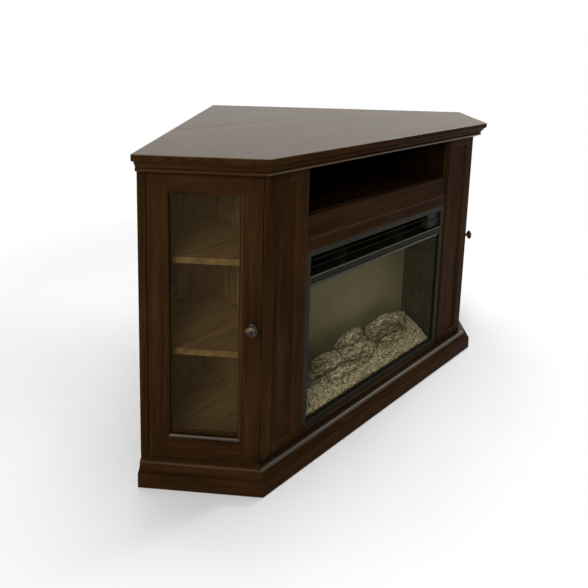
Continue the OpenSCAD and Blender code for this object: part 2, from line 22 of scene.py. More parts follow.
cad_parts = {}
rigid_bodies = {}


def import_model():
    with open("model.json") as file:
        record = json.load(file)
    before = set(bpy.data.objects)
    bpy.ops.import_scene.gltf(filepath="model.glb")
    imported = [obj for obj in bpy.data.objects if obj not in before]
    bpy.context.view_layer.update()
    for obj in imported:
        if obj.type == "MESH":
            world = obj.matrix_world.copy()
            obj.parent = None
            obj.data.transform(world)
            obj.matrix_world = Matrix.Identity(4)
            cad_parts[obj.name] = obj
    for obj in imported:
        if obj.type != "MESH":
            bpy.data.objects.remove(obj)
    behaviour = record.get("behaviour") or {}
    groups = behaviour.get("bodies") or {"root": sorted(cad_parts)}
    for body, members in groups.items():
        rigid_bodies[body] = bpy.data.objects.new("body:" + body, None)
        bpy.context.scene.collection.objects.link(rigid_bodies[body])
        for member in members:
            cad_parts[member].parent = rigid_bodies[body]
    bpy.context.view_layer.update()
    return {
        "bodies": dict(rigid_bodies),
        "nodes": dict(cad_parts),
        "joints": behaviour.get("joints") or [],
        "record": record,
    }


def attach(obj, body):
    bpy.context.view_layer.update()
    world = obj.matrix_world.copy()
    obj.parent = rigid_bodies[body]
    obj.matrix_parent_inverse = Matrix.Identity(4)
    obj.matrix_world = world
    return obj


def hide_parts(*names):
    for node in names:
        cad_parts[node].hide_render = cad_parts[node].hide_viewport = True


log = logging.getLogger("cabinet")
MM = 0.001
NEAR = 1e-5
FACING_UP = "ash_fall"
LOG_PLACE = "log_place"
ROOT_2 = math.sqrt(2.0)
Point = tuple[float, float, float]
Colour = tuple[float, float, float]
Test = Callable[[Vector, Vector], bool]


# ---------------------------------------------------------------- plan
class Side(Enum):
    """The two wings of the cabinet."""

    LEFT = "left"
    RIGHT = "right"

    @property
    def sign(self) -> int:
        """Which way along X the wing lies."""
        return 1 if self is Side.RIGHT else -1


@dataclass(frozen=True)
class Plan:
    """Sizes that the sub-assemblies share, in millimetres, named as on the drawing."""

    front_w: float = 904.0
    wing_run: float = 202.0
    overall_h: float = 762.0
    top_t: float = 17.0
    overhang: float = 34.0
    rear_overhang: float = 1.0
    board_t: float = 18.0
    setback: float = 6.0
    bay_half: float = 304.0

    @property
    def depth(self) -> float:
        """Distance from the front edge of the top to the rear corner."""
        return 2 * self.wing_run + self.front_w / 2

    @property
    def corner_x(self) -> float:
        """Where the front face meets the wing face."""
        return self.front_w / 2 - self.overhang * (ROOT_2 - 1)

    @property
    def side_u(self) -> float:
        """Length along the wing up to the side panel."""
        half_w = self.front_w / 2 + self.wing_run
        return (half_w - self.corner_x) * ROOT_2 - self.overhang - self.rear_overhang - self.board_t

    def at(self, x: float, y: float, z: float) -> Vector:
        """Turns a drawing point, y measured back from the top's front edge, into a frame point."""
        return Vector((x, y - self.depth / 2, z)) * MM

    def on_wing(self, side: Side) -> Matrix:
        """Places a mesh drawn along a wing: x along the wing, y inward from its face.

        Args:
            side: The wing to place it on.

        Returns:
            The matrix from the wing's axes to the frame's, in metres.
        """
        corner = self.at(self.corner_x, self.overhang, 0.0)
        right = Matrix.Translation(corner) @ Matrix.Rotation(math.radians(45.0), 4, "Z")
        if side is Side.RIGHT:
            return right
        return Matrix.Scale(-1.0, 4, Vector((1.0, 0.0, 0.0))) @ right


PLAN = Plan()


# ---------------------------------------------------------------- shader wires
@dataclass(frozen=True)
class Wire:
    """An output socket that can be used in sums and products."""

    recipe: Recipe
    socket: bpy.types.NodeSocket

    def _maths(self, operation: str, first: Wire | float, second: Wire | float) -> Wire:
        """Adds one Math node and returns its result."""
        return self.recipe.add("ShaderNodeMath", {"operation": operation}, {0: first, 1: second})

    def __add__(self, other: Wire | float) -> Wire:
        """Sum."""
        return self._maths("ADD", self, other)

    __radd__ = __add__

    def __mul__(self, other: Wire | float) -> Wire:
        """Product."""
        return self._maths("MULTIPLY", self, other)

    __rmul__ = __mul__

    def __sub__(self, other: Wire | float) -> Wire:
        """Difference."""
        return self._maths("SUBTRACT", self, other)

    def __rsub__(self, other: Wire | float) -> Wire:
        """Difference with the wire second, as in 1 - mask."""
        return self._maths("SUBTRACT", other, self)

    def above(self, edge: Wire | float) -> Wire:
        """1 where the wire is greater than the edge, else 0."""
        return self._maths("GREATER_THAN", self, edge)

    def largest(self, other: Wire | float) -> Wire:
        """The larger of two values."""
        return self._maths("MAXIMUM", self, other)

    def other(self, output: int | str) -> Wire:
        """Another output of the same node."""
        return Wire(self.recipe, self.socket.node.outputs[output])

    def size(self) -> Wire:
        """Absolute value."""
        return self._maths("ABSOLUTE", self, 0.0)

    def between(self, low: float, high: float) -> Wire:
        """Maps low..high to 0..1 and holds the ends.

        Args:
            low: The value that becomes 0.
            high: The value that becomes 1.

        Returns:
            A wire from 0 to 1.
        """
        return self.recipe.add(
            "ShaderNodeMapRange", {"clamp": True}, {"Value": self, "From Min": low, "From Max": high}
        )


Feed = Wire | float | Sequence[float]


class Recipe:
    """One material's nodes, added one at a time."""

    def __init__(self, name: str) -> None:
        """Starts an empty material.

        Args:
            name: The material's name.
        """
        self._start(bpy.data.materials.new(name), "ShaderNodeOutputMaterial")

    def _start(self, owner: bpy.types.Material | bpy.types.World, output: str) -> None:
        """Clears the owner's nodes and adds its output.

        Args:
            owner: The material or world that holds the nodes.
            output: The output node's type.
        """
        self.owner = owner
        owner.use_nodes = True
        self.tree = owner.node_tree
        self.tree.nodes.clear()
        self.output = self.tree.nodes.new(output)

    def add(self, kind: str, settings: dict | None = None, feeds: dict | None = None, out: int = 0) -> Wire:
        """Adds a node: its settings first, then the values or wires of its sockets.

        Args:
            kind: The node's type.
            settings: Properties of the node. The key "stops" holds a ramp's positions and colours.
            feeds: Values or wires by socket name or number.
            out: Number of the output to return.

        Returns:
            A wire from that output.
        """
        node = self.tree.nodes.new(kind)
        for key, value in (settings or {}).items():
            if key == "stops":
                self._ramp(node.color_ramp, value)
            else:
                setattr(node, key, value)
        for key, value in (feeds or {}).items():
            if isinstance(value, Wire):
                self.tree.links.new(value.socket, node.inputs[key])
            else:
                node.inputs[key].default_value = value
        return Wire(self, node.outputs[out])

    @staticmethod
    def _ramp(ramp: bpy.types.ColorRamp, stops: Sequence[tuple[float, Colour]]) -> None:
        """Sets a colour ramp's stops.

        Args:
            ramp: The ramp.
            stops: Position and colour of each stop.
        """
        while len(ramp.elements) < len(stops):
            ramp.elements.new(1.0)
        for element, (position, colour) in zip(ramp.elements, stops):
            element.position = position
            element.color = (*colour, 1.0)

    def place(self, turn: Point = (0.0, 0.0, 0.0), stretch: Point = (1.0, 1.0, 1.0), name: str = "") -> Wire:
        """The piece's own coordinates, turned and stretched.

        Args:
            turn: Rotation in radians.
            stretch: Scale along each turned axis.
            name: A vertex attribute to read in place of the object's coordinates.

        Returns:
            A wire of vectors.
        """
        if name:
            source = self.add("ShaderNodeAttribute", {"attribute_name": name}, out=1)
        else:
            source = self.add("ShaderNodeTexCoord", out=3)
        turned = self.add("ShaderNodeMapping", {}, {"Vector": source, "Rotation": turn})
        return self.add("ShaderNodeMapping", {}, {"Vector": turned, "Scale": stretch})

    def noise(self, where: Wire, scale: float, detail: float = 4.0, twist: float = 0.0) -> Wire:
        """Cloudy noise from 0 to 1."""
        feeds = {"Vector": where, "Scale": scale, "Detail": detail, "Roughness": 0.55, "Distortion": twist}
        return self.add("ShaderNodeTexNoise", {}, feeds)

    def ramp(self, value: Wire, *stops: tuple[float, Colour]) -> Wire:
        """Colours by value."""
        return self.add("ShaderNodeValToRGB", {"stops": stops}, {"Fac": value})

    def mix(self, share: Wire | float, first: Feed, second: Feed) -> Wire:
        """Mixes two colours.

        Args:
            share: How much of the second shows, from 0 to 1.
            first: The first colour.
            second: The second colour.

        Returns:
            A wire of colours.
        """
        if not isinstance(first, Wire):
            first = (*first, 1.0)
        if not isinstance(second, Wire):
            second = (*second, 1.0)
        return self.add("ShaderNodeMix", {"data_type": "RGBA"}, {0: share, 6: first, 7: second}, out=2)

    def bump(self, height: Wire, depth: float, strength: float = 1.0) -> Wire:
        """A normal that follows a height, whose full range is the depth in metres."""
        return self.add("ShaderNodeBump", {}, {"Height": height, "Distance": depth, "Strength": strength})

    def direct_view(self) -> Wire:
        """1 for what the eye sees plainly, in gloss or through glass, else 0."""
        rays = self.add("ShaderNodeLightPath")
        return rays.largest(rays.other("Is Glossy Ray")).largest(rays.other("Is Transmission Ray"))

    def surface(self, **feeds: Feed) -> Wire:
        """A Principled shader, fed by socket names with underscores for spaces."""
        named = {key.replace("_", " "): value for key, value in feeds.items()}
        return self.add("ShaderNodeBsdfPrincipled", {}, named)

    def done(self, shader: Wire) -> bpy.types.Material | bpy.types.World:
        """Joins the shader to the output and returns the material or world."""
        self.tree.links.new(shader.socket, self.output.inputs["Surface"])
        return self.owner


class SkyRecipe(Recipe):
    """The world's nodes, added in the same way as a material's."""

    def __init__(self, name: str) -> None:
        """Starts an empty world for the scene.

        Args:
            name: The world's name.
        """
        world = bpy.data.worlds.new(name)
        bpy.context.scene.world = world
        self._start(world, "ShaderNodeOutputWorld")


# ---------------------------------------------------------------- finishes
class Grain(Enum):
    """Which way a board's grain runs, as the turn that brings it along X."""

    ACROSS = (0.0, 0.0, 0.0)
    UPRIGHT = (0.0, math.pi / 2, 0.0)
    RIGHT_WING = (0.0, 0.0, -math.pi / 4)
    LEFT_WING = (0.0, 0.0, math.pi / 4)

    @classmethod
    def along(cls, side: Side) -> Grain:
        """The grain that runs along a wing."""
        return cls.RIGHT_WING if side is Side.RIGHT else cls.LEFT_WING


@dataclass(frozen=True)
class StainedWood:
    """Wood with a dark stain under satin lacquer."""

    name: str
    dark: Colour
    middle: Colour
    light: Colour
    sheen: float = 0.28
    level: float = 0.008
    # The tint colours the lacquer's reflections warm, standing in for the warm surroundings they mirror: a
    # painted reflection colour.
    tint: Colour = (1.0, 0.74, 0.52)
    streak: float = 0.10
    open_pores: float = 1.0

    def material(self, grain: Grain) -> bpy.types.Material:
        """Makes the finish for one grain direction, or returns the one made before.

        Args:
            grain: Which way the grain runs.

        Returns:
            The material.
        """
        title = f"{self.name}_{grain.name.lower()}"
        if title in bpy.data.materials:
            return bpy.data.materials[title]
        mix = Recipe(title)
        streaks = mix.noise(mix.place(grain.value, (1.1, 17.0, 17.0)), 4.0, 7.0, 0.6)
        pores = mix.noise(mix.place(grain.value, (9.0, 260.0, 260.0)), 3.0, 3.0)
        cloud = mix.noise(mix.place(grain.value, (1.0, 2.2, 2.2)), 3.6, 3.0, 0.5)
        tone = streaks * 0.62 + cloud * 0.38
        stained = mix.ramp(tone, (0.36, self.dark), (0.5, self.middle), (0.66, self.light))
        pore = pores.between(0.38, 0.5)
        share = 0.35 * self.open_pores
        coloured = mix.mix(share - share * pore, stained, self.dark)
        normal = mix.bump(pore * (0.5 * self.open_pores) + streaks * 0.5, 0.12 * MM, 0.5)
        shader = mix.surface(
            Base_Color=coloured,
            Roughness=self.sheen + streaks * self.streak - pore * 0.04,
            Specular_IOR_Level=self.level,
            Specular_Tint=(*self.tint, 1.0),
            Normal=normal,
        )
        return mix.done(shader)


@dataclass(frozen=True)
class CoatedSteel:
    """Sheet steel: powder coated, zinc plated or nickel plated."""

    name: str
    colour: Colour
    metal: float = 0.0
    roughness: float = 0.45
    fleck: float = 0.15
    grit: float = 900.0
    relief: float = 0.05
    level: float = 0.5
    brushed: bool = False
    tint: Colour = (1.0, 1.0, 1.0)

    def material(self) -> bpy.types.Material:
        """Makes the finish.

        Returns:
            The material.
        """
        mix = Recipe(self.name)
        stretch = (1.0, 30.0, 30.0) if self.brushed else (1.0, 1.0, 1.0)
        fine = mix.noise(mix.place(stretch=stretch), self.grit, 3.0)
        broad = mix.noise(mix.place(), 14.0, 4.0)
        deep = tuple(c * (1 - self.fleck) for c in self.colour)
        pale = tuple(min(1.0, c * (1 + self.fleck)) for c in self.colour)
        shader = mix.surface(
            Base_Color=mix.ramp(broad * 0.6 + fine * 0.4, (0.35, deep), (0.65, pale)),
            Metallic=self.metal,
            Specular_IOR_Level=self.level,
            Specular_Tint=(*self.tint, 1.0),
            Roughness=self.roughness + broad * 0.10 + fine * 0.06,
            Normal=mix.bump(fine, self.relief * MM, 0.6),
        )
        return mix.done(shader)


@dataclass(frozen=True)
class RubbedBronze:
    """Dark bronze, with paler patches of wear at random."""

    name: str = "rubbed_bronze"
    dark: Colour = (0.020, 0.016, 0.013)
    brightened: Colour = (0.20, 0.13, 0.07)

    def material(self) -> bpy.types.Material:
        """Makes the finish.

        Returns:
            The material.
        """
        mix = Recipe(self.name)
        cloud = mix.noise(mix.place(), 90.0, 5.0, 0.4)
        fine = mix.noise(mix.place(), 1400.0, 2.0)
        shader = mix.surface(
            Base_Color=mix.ramp(cloud, (0.5, self.dark), (0.78, self.brightened)),
            Metallic=0.85,
            Roughness=0.30 + cloud * 0.12,
            Normal=mix.bump(fine, 0.03 * MM, 0.5),
        )
        return mix.done(shader)


@dataclass(frozen=True)
class MouldedPlastic:
    """Black moulded plastic with a fine spark-eroded texture."""

    name: str = "moulded_plastic"
    colour: Colour = (0.013, 0.0125, 0.0115)
    roughness: float = 0.42

    def material(self) -> bpy.types.Material:
        """Makes the finish.

        Returns:
            The material.
        """
        mix = Recipe(self.name)
        pits = mix.noise(mix.place(), 1600.0, 2.0)
        dust = mix.noise(mix.place(), 30.0, 5.0)
        grey = tuple(c * 2.2 for c in self.colour)
        shader = mix.surface(
            Base_Color=mix.ramp(dust, (0.5, self.colour), (0.85, grey)),
            Specular_IOR_Level=0.08,
            Roughness=self.roughness + pits * 0.14,
            Normal=mix.bump(pits, 0.05 * MM, 0.6),
        )
        return mix.done(shader)


@dataclass(frozen=True)
class PaneGlass:
    """Sheet glass: a tinted view through it, under a thin matt layer of painted reflection."""

    name: str
    passes: Colour
    painted_veil: Colour
    share: float
    border_x: float = 0.0
    border_z: tuple[float, float] = (0.0, 0.0)
    veil_blotch_share: float = 0.03
    gloss: float = 0.22
    printed: Colour = (0.004, 0.004, 0.004)

    def material(self) -> bpy.types.Material:
        """Makes the finish, with a printed black border where the border sizes are set.

        Returns:
            The material.
        """
        mix = Recipe(self.name)
        veil_blotch = mix.noise(mix.place(), 7.0, 4.0, 0.3)
        view = mix.add("ShaderNodeBsdfTransparent", {}, {"Color": (*self.passes, 1.0)})
        # The matt layer is painted reflection: a flat colour mixed over the view, blotchy with noise.
        painted_veil = mix.surface(
            Base_Color=mix.ramp(veil_blotch, (0.3, tuple(c * 0.85 for c in self.painted_veil)), (0.7, self.painted_veil)),
            Roughness=self.gloss + veil_blotch * 0.04,
            Specular_IOR_Level=0.0,
        )
        cover = veil_blotch * self.veil_blotch_share + self.share
        shader = mix.add("ShaderNodeMixShader", {}, {0: cover, 1: view, 2: painted_veil})
        if self.border_x:
            axes = mix.add("ShaderNodeSeparateXYZ", {}, {"Vector": mix.place()})
            height = axes.other(2)
            edge = axes.size().above(self.border_x)
            edge = edge.largest(height.above(self.border_z[1]))
            edge = edge.largest(1.0 - height.above(self.border_z[0]))
            print_black = mix.surface(
                Base_Color=(*self.printed, 1.0), Roughness=self.gloss, Specular_IOR_Level=0.25
            )
            shader = mix.add("ShaderNodeMixShader", {}, {0: edge, 1: shader, 2: print_black})
        return mix.done(shader)


@dataclass(frozen=True)
class CastResin:
    """Cast and painted resin: paler where the faces point up, char in the cracks."""

    name: str
    char: Colour
    body: Colour
    ash: Colour
    scale: float = 60.0
    along: str = ""

    def material(self) -> bpy.types.Material:
        """Makes the finish; with an attribute name the bark follows each log.

        Returns:
            The material.
        """
        mix = Recipe(self.name)
        stretch = (1.0, 1.0, 0.28) if self.along else (1.0, 1.0, 1.0)
        where = mix.place(stretch=stretch, name=self.along)
        cracks = mix.add(
            "ShaderNodeTexVoronoi",
            {"feature": "DISTANCE_TO_EDGE"},
            {"Vector": where, "Scale": self.scale},
        )
        crack = cracks.between(0.02, 0.22)
        cloud = mix.noise(mix.place(name=self.along), self.scale * 0.35, 5.0, 0.3)
        fine = mix.noise(where, self.scale, 4.0)
        facing_up = mix.add("ShaderNodeAttribute", {"attribute_name": FACING_UP}, out=2)
        tone = cloud * 0.20 + fine.between(0.36, 0.64) * 0.42 + facing_up * 0.38
        paint = mix.ramp(tone, (0.34, self.char), (0.54, self.body), (0.80, self.ash))
        coloured = mix.mix(0.5 - 0.5 * crack, paint, self.char)
        shader = mix.surface(
            Base_Color=coloured,
            Roughness=0.72 + fine * 0.2,
            Normal=mix.bump(crack * 0.6 + fine * 0.4, 0.9 * MM, 0.7),
        )
        return mix.done(shader)


@dataclass(frozen=True)
class SawnEnd:
    """The sawn end of a cast log, with its growth rings."""

    name: str = "sawn_end"
    early: Colour = (0.42, 0.36, 0.25)
    late: Colour = (0.12, 0.095, 0.062)

    def material(self) -> bpy.types.Material:
        """Makes the finish; the rings run round each log's own axis.

        Returns:
            The material.
        """
        mix = Recipe(self.name)
        rings = mix.add(
            "ShaderNodeTexWave",
            {"wave_type": "RINGS", "rings_direction": "Z"},
            {"Vector": mix.place(name=LOG_PLACE), "Scale": 42.0, "Distortion": 2.5, "Detail Scale": 1.5},
            out=1,
        )
        fine = mix.noise(mix.place(name=LOG_PLACE), 420.0, 4.0)
        shader = mix.surface(
            Base_Color=mix.ramp(rings * 0.6 + fine * 0.4, (0.3, self.late), (0.65, self.early)),
            Roughness=0.75 + fine * 0.2,
            Normal=mix.bump(rings * 0.5 + fine * 0.5, 0.5 * MM, 0.6),
        )
        return mix.done(shader)


@dataclass(frozen=True)
class FrostedPanel:
    """The smoky panel that the flame picture falls on; its olive tone is partly its own and partly painted
    reflection.
    """

    name: str = "frosted_panel"
    low: Colour = (0.15, 0.135, 0.088)
    high: Colour = (0.21, 0.19, 0.125)

    def material(self) -> bpy.types.Material:
        """Makes the finish.

        Returns:
            The material.
        """
        mix = Recipe(self.name)
        cloud = mix.noise(mix.place(), 4.0, 3.0)
        grain = mix.noise(mix.place(), 1500.0, 2.0)
        shader = mix.surface(
            Base_Color=mix.ramp(cloud, (0.35, self.low), (0.7, self.high)),
            Roughness=0.55 + grain * 0.1,
            Normal=mix.bump(grain, 0.02 * MM, 0.5),
        )
        return mix.done(shader)


ESPRESSO = StainedWood(
    name="espresso_wood",
    dark=(0.0148, 0.0062, 0.0021),
    middle=(0.0250, 0.0108, 0.0036),
    light=(0.0385, 0.0170, 0.0056),
)
# Lighter copy of the stain for roundings, bevels and sticking faces: a painted highlight.
EDGE = StainedWood(
    name="espresso_edge",
    dark=(0.021, 0.0092, 0.0033),
    middle=(0.034, 0.0152, 0.0056),
    light=(0.050, 0.0225, 0.0083),
    sheen=0.24,
    level=0.06,
)
# Glossier, greyer copy of the stain for the faces where highlight lines fall, with a pale tint on its gloss:
# a painted highlight.
ARRIS = StainedWood(
    name="rubbed_arris",
    dark=(0.014, 0.0085, 0.0046),
    middle=(0.021, 0.0130, 0.0072),
    light=(0.032, 0.0205, 0.0118),
    sheen=0.30,
    level=0.45,
    tint=(1.0, 0.95, 0.82),
)
# Near-black copy of the stain for the inside of the open media bay: painted shade.
BAY_SHADE = StainedWood(
    name="bay_wood",
    dark=(0.007, 0.0030, 0.0012),
    middle=(0.0115, 0.0052, 0.0021),
    light=(0.018, 0.0084, 0.0034),
)
# Lighter, glossier copy of the stain for the top's upward faces; the lift in colour and the warm tint on its
# gloss are painted reflection.
TOP = StainedWood(
    name="espresso_top",
    dark=(0.020, 0.0105, 0.0038),
    middle=(0.033, 0.0172, 0.0060),
    light=(0.048, 0.0255, 0.0092),
    sheen=0.40,
    level=0.37,
    tint=(1.0, 0.82, 0.50),
    streak=0.02,
)
# Pale stain for the cupboard insides: partly the wood's own stain, partly lifted to stand in for the
# reflection over the door glass, a painted reflection.
INNER = StainedWood(
    name="stained_panel",
    dark=(0.095, 0.062, 0.028),
    middle=(0.160, 0.104, 0.048),
    light=(0.215, 0.142, 0.068),
    sheen=0.50,
    level=0.02,
    open_pores=0.2,
)


class Shelf(Enum):
    """The finishes that are not wood."""

    NICKEL = "plated_steel"
    BRONZE = "dark_bronze"
    BLACK = "black_steel"
    # paler coat on the outlet bar's rounded lips: a painted highlight
    LIP = "rubbed_lip"
    SOOT = "matt_black"
    ZINC = "galvanised"
    PLASTIC = "black_plastic"
    EMBER = "ember_resin"
    LOG = "log_resin"
    SAWN = "sawn_end"
    SCREEN = "screen_panel"
    FOIL = "foil"
    DOOR_GLASS = "door_glass"
    FIRE_GLASS = "fire_glass"


class Finishes:
    """Every finish but the woods, made once and handed out by slot."""

    def __init__(self) -> None:
        """Makes the finishes."""
        mixed = {
            Shelf.NICKEL: CoatedSteel(
                name="nickel_plate",
                colour=(0.62, 0.61, 0.58),
                metal=1.0,
                roughness=0.22,
                fleck=0.06,
                grit=600.0,
                relief=0.02,
                brushed=True,
            ),
            Shelf.BRONZE: RubbedBronze(),
            # The warm tint on its gloss stands in for the warm surroundings it mirrors: a painted reflection
            # colour.
            Shelf.BLACK: CoatedSteel(
                name="powder_black",
                colour=(0.0150, 0.0140, 0.0092),
                roughness=0.34,
                fleck=0.25,
                grit=700.0,
                relief=0.02,
                level=0.06,
                tint=(1.0, 0.9, 0.6),
            ),
            Shelf.SOOT: CoatedSteel(
                name="matt_black",
                colour=(0.0130, 0.0122, 0.0085),
                roughness=0.65,
                fleck=0.2,
                grit=300.0,
                relief=0.01,
                level=0.01,
            ),
            # Paler coat for the outlet bar's rounded lips: a painted highlight.
            Shelf.LIP: CoatedSteel(
                name="rubbed_lip",
                colour=(0.075, 0.070, 0.048),
                roughness=0.30,
                fleck=0.2,
                relief=0.02,
                level=0.18,
            ),
            Shelf.ZINC: CoatedSteel(
                name="zinc_sheet",
                colour=(0.36, 0.37, 0.37),
                metal=0.9,
                roughness=0.42,
                fleck=0.18,
                grit=60.0,
                relief=0.02,
            ),
            Shelf.PLASTIC: MouldedPlastic(),
            Shelf.EMBER: CastResin(
                name="ember_cast",
                char=(0.085, 0.071, 0.051),
                body=(0.49, 0.42, 0.31),
                ash=(0.98, 0.93, 0.79),
                scale=190.0,
            ),
            Shelf.LOG: CastResin(
                name="log_cast",
                char=(0.044, 0.035, 0.025),
                body=(0.26, 0.214, 0.154),
                ash=(0.90, 0.84, 0.70),
                scale=190.0,
                along=LOG_PLACE,
            ),
            Shelf.SAWN: SawnEnd(),
            Shelf.SCREEN: FrostedPanel(),
            Shelf.FOIL: CoatedSteel(
                name="foil",
                colour=(0.75, 0.75, 0.73),
                metal=1.0,
                roughness=0.18,
                fleck=0.05,
                grit=120.0,
                relief=0.15,
            ),
            # Both panes carry a matt layer of painted reflection over the view.
            Shelf.DOOR_GLASS: PaneGlass(
                name="door_pane", passes=(0.96, 0.94, 0.86), painted_veil=(0.110, 0.072, 0.039), share=0.08
            ),
            Shelf.FIRE_GLASS: PaneGlass(
                name="fire_pane",
                passes=(0.95, 0.94, 0.86),
                painted_veil=(0.100, 0.086, 0.052),
                share=0.12,
                border_x=0.279,
                border_z=(0.081, 0.4215),
            ),
        }
        self._made = {shelf: finish.material() for shelf, finish in mixed.items()}

    def of(self, shelf: Shelf) -> bpy.types.Material:
        """Hands out a finish."""
        return self._made[shelf]


# ---------------------------------------------------------------- bench
class Bench:
    """One mesh on the bench, shaped with Blender's own modelling tools."""

    def __init__(self, piece: bpy.types.Object, name: str) -> None:
        """Takes a mesh object on the bench and names it.

        Args:
            piece: The mesh object.
            name: The finished piece's name.
        """
        self.piece = piece
        piece.name = name
        piece.data.name = name

    # -- starts
    @staticmethod
    def clear() -> None:
        """Deselects everything."""
        bpy.ops.object.select_all(action="DESELECT")

    @classmethod
    def block(cls, name: str, low: Sequence[float], high: Sequence[float]) -> Bench:
        """Starts from a cube between two corners.

        Args:
            name: The piece's name.
            low: Lowest corner in metres.
            high: Highest corner in metres.

        Returns:
            The bench with the block on it.
        """
        cls.clear()
        low, high = Vector(low), Vector(high)
        bpy.ops.mesh.primitive_cube_add(size=1.0, location=(low + high) / 2, scale=high - low)
        bpy.ops.object.transform_apply(location=True, rotation=True, scale=True)
        return cls(bpy.context.active_object, name)

    @classmethod
    def turned(cls, name: str, rings: Sequence[tuple[float, float]], sides: int = 40) -> Bench:
        """Turns a closed shape about Z, as on a lathe, ring by ring.

        Args:
            name: The piece's name.
            rings: Radius and height of each ring in metres, upward.
            sides: Number of sides.

        Returns:
            The bench with the turned shape on it.
        """
        cls.clear()
        radius, height = rings[0]
        bpy.ops.mesh.primitive_circle_add(
            vertices=sides, radius=radius, fill_type="NGON", location=(0.0, 0.0, height)
        )
        bpy.ops.object.transform_apply(location=True, rotation=True, scale=True)
        bench = cls(bpy.context.active_object, name)
        with bench.editing(all_picked=True):
            for next_radius, next_height in rings[1:]:
                bpy.ops.mesh.extrude_region_move(
                    TRANSFORM_OT_translate={"value": (0.0, 0.0, next_height - height)}
                )
                grow = next_radius / radius
                bpy.ops.transform.resize(value=(grow, grow, 1.0), center_override=(0.0, 0.0, next_height))
                radius, height = next_radius, next_height
            bpy.ops.mesh.select_all(action="SELECT")
            bpy.ops.mesh.normals_make_consistent(inside=False)
        return bench

    @classmethod
    def from_cad(cls, node: str, name: str = "") -> Bench:
        """Starts from a copy of a CAD node, merged and with flat faces made whole.

        Args:
            node: The CAD node.
            name: The piece's name, or "" for the node's name with _board.

        Returns:
            The bench with the copy on it.
        """
        cls.clear()
        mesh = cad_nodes()[node].data.copy()
        mesh.materials.clear()
        piece = bpy.data.objects.new(name or f"{node}_board", mesh)
        bpy.context.scene.collection.objects.link(piece)
        bench = cls(piece, piece.name)
        with bench.editing(all_picked=True):
            bpy.ops.mesh.remove_doubles(threshold=NEAR)
            bpy.ops.mesh.dissolve_limited(angle_limit=math.radians(0.3))
        return bench

    def copy(self, name: str) -> Bench:
        """Makes a second piece of the same shape, with its own mesh.

        Args:
            name: The new piece's name.

        Returns:
            The bench with the new piece on it.
        """
        piece = self.piece.copy()
        piece.data = self.piece.data.copy()
        bpy.context.scene.collection.objects.link(piece)
        return Bench(piece, name)

    # -- selecting
    def only(self) -> None:
        """Makes this the one selected and active object."""
        self.clear()
        bpy.context.view_layer.objects.active = self.piece
        self.piece.select_set(True)

    @contextmanager
    def editing(self, kind: str = "FACE", all_picked: bool = False) -> Iterator[None]:
        """Opens edit mode on this piece.

        Args:
            kind: VERT, EDGE or FACE.
            all_picked: True to start with everything selected.
        """
        self.only()
        bpy.ops.object.mode_set(mode="EDIT")
        bpy.ops.mesh.select_mode(type=kind)
        bpy.ops.mesh.select_all(action="SELECT" if all_picked else "DESELECT")
        yield
        bpy.ops.object.mode_set(mode="OBJECT")

    def pick_faces(self, test: Test) -> None:
        """Selects the faces whose centre and normal pass the test, and nothing else.

        Args:
            test: Takes a centre and a normal.
        """
        bpy.ops.mesh.select_mode(type="FACE")
        bpy.ops.mesh.select_all(action="DESELECT")
        shape = bmesh.from_edit_mesh(self.piece.data)
        for face in shape.faces:
            if test(face.calc_center_median(), face.normal):
                face.select_set(True)
        bmesh.update_edit_mesh(self.piece.data)

    def pick_edges(self, test: Test) -> None:
        """Selects the edges whose middle and direction pass the test, and nothing else.

        Args:
            test: Takes a middle and a direction.
        """
        bpy.ops.mesh.select_mode(type="EDGE")
        bpy.ops.mesh.select_all(action="DESELECT")
        shape = bmesh.from_edit_mesh(self.piece.data)
        for edge in shape.edges:
            a, b = (v.co for v in edge.verts)
            if test((a + b) / 2, (b - a).normalized()):
                edge.select_set(True)
        bmesh.update_edit_mesh(self.piece.data)

    def pick_points(self, test: Callable[[Vector], bool]) -> None:
        """Selects the points that pass the test, and nothing else.

        Args:
            test: Takes a point.
        """
        bpy.ops.mesh.select_mode(type="VERT")
        bpy.ops.mesh.select_all(action="DESELECT")
        shape = bmesh.from_edit_mesh(self.piece.data)
        for point in shape.verts:
            if test(point.co):
                point.select_set(True)
        bmesh.update_edit_mesh(self.piece.data)

    # -- shaping
    @staticmethod
    def cut(point: Sequence[float], normal: Sequence[float]) -> None:
        """Cuts the whole mesh along a plane, keeping both sides."""
        bpy.ops.mesh.select_all(action="SELECT")
        bpy.ops.mesh.bisect(plane_co=point, plane_no=normal)

    @staticmethod
    def push(move: Sequence[float]) -> None:
        """Extrudes the selection by a move."""
        bpy.ops.mesh.extrude_region_move(TRANSFORM_OT_translate={"value": move})

    def modifier(self, kind: str, **settings: object) -> None:
        """Adds a modifier, sets it and applies it.

        Args:
            kind: The modifier's type.
            settings: Its properties.
        """
        self.only()
        made = self.piece.modifiers.new(kind.lower(), kind)
        for key, value in settings.items():
            setattr(made, key, value)
        bpy.ops.object.modifier_apply(modifier=made.name)

    def ease(self, width: float, steps: int = 2, angle: float = 30.0, brightened: bool = False) -> None:
        """Rounds the sharp edges.

        Args:
            width: Width of the rounding in metres.
            steps: Number of faces across it.
            angle: Edges sharper than this are rounded, in degrees.
            brightened: True to give the new faces the second finish, which on the espresso boards is a
                lighter stain: a painted highlight.
        """
        self.modifier(
            "BEVEL",
            width=width,
            segments=steps,
            limit_method="ANGLE",
            angle_limit=math.radians(angle),
            use_clamp_overlap=True,
            material=1 if brightened else -1,
            harden_normals=False,
        )

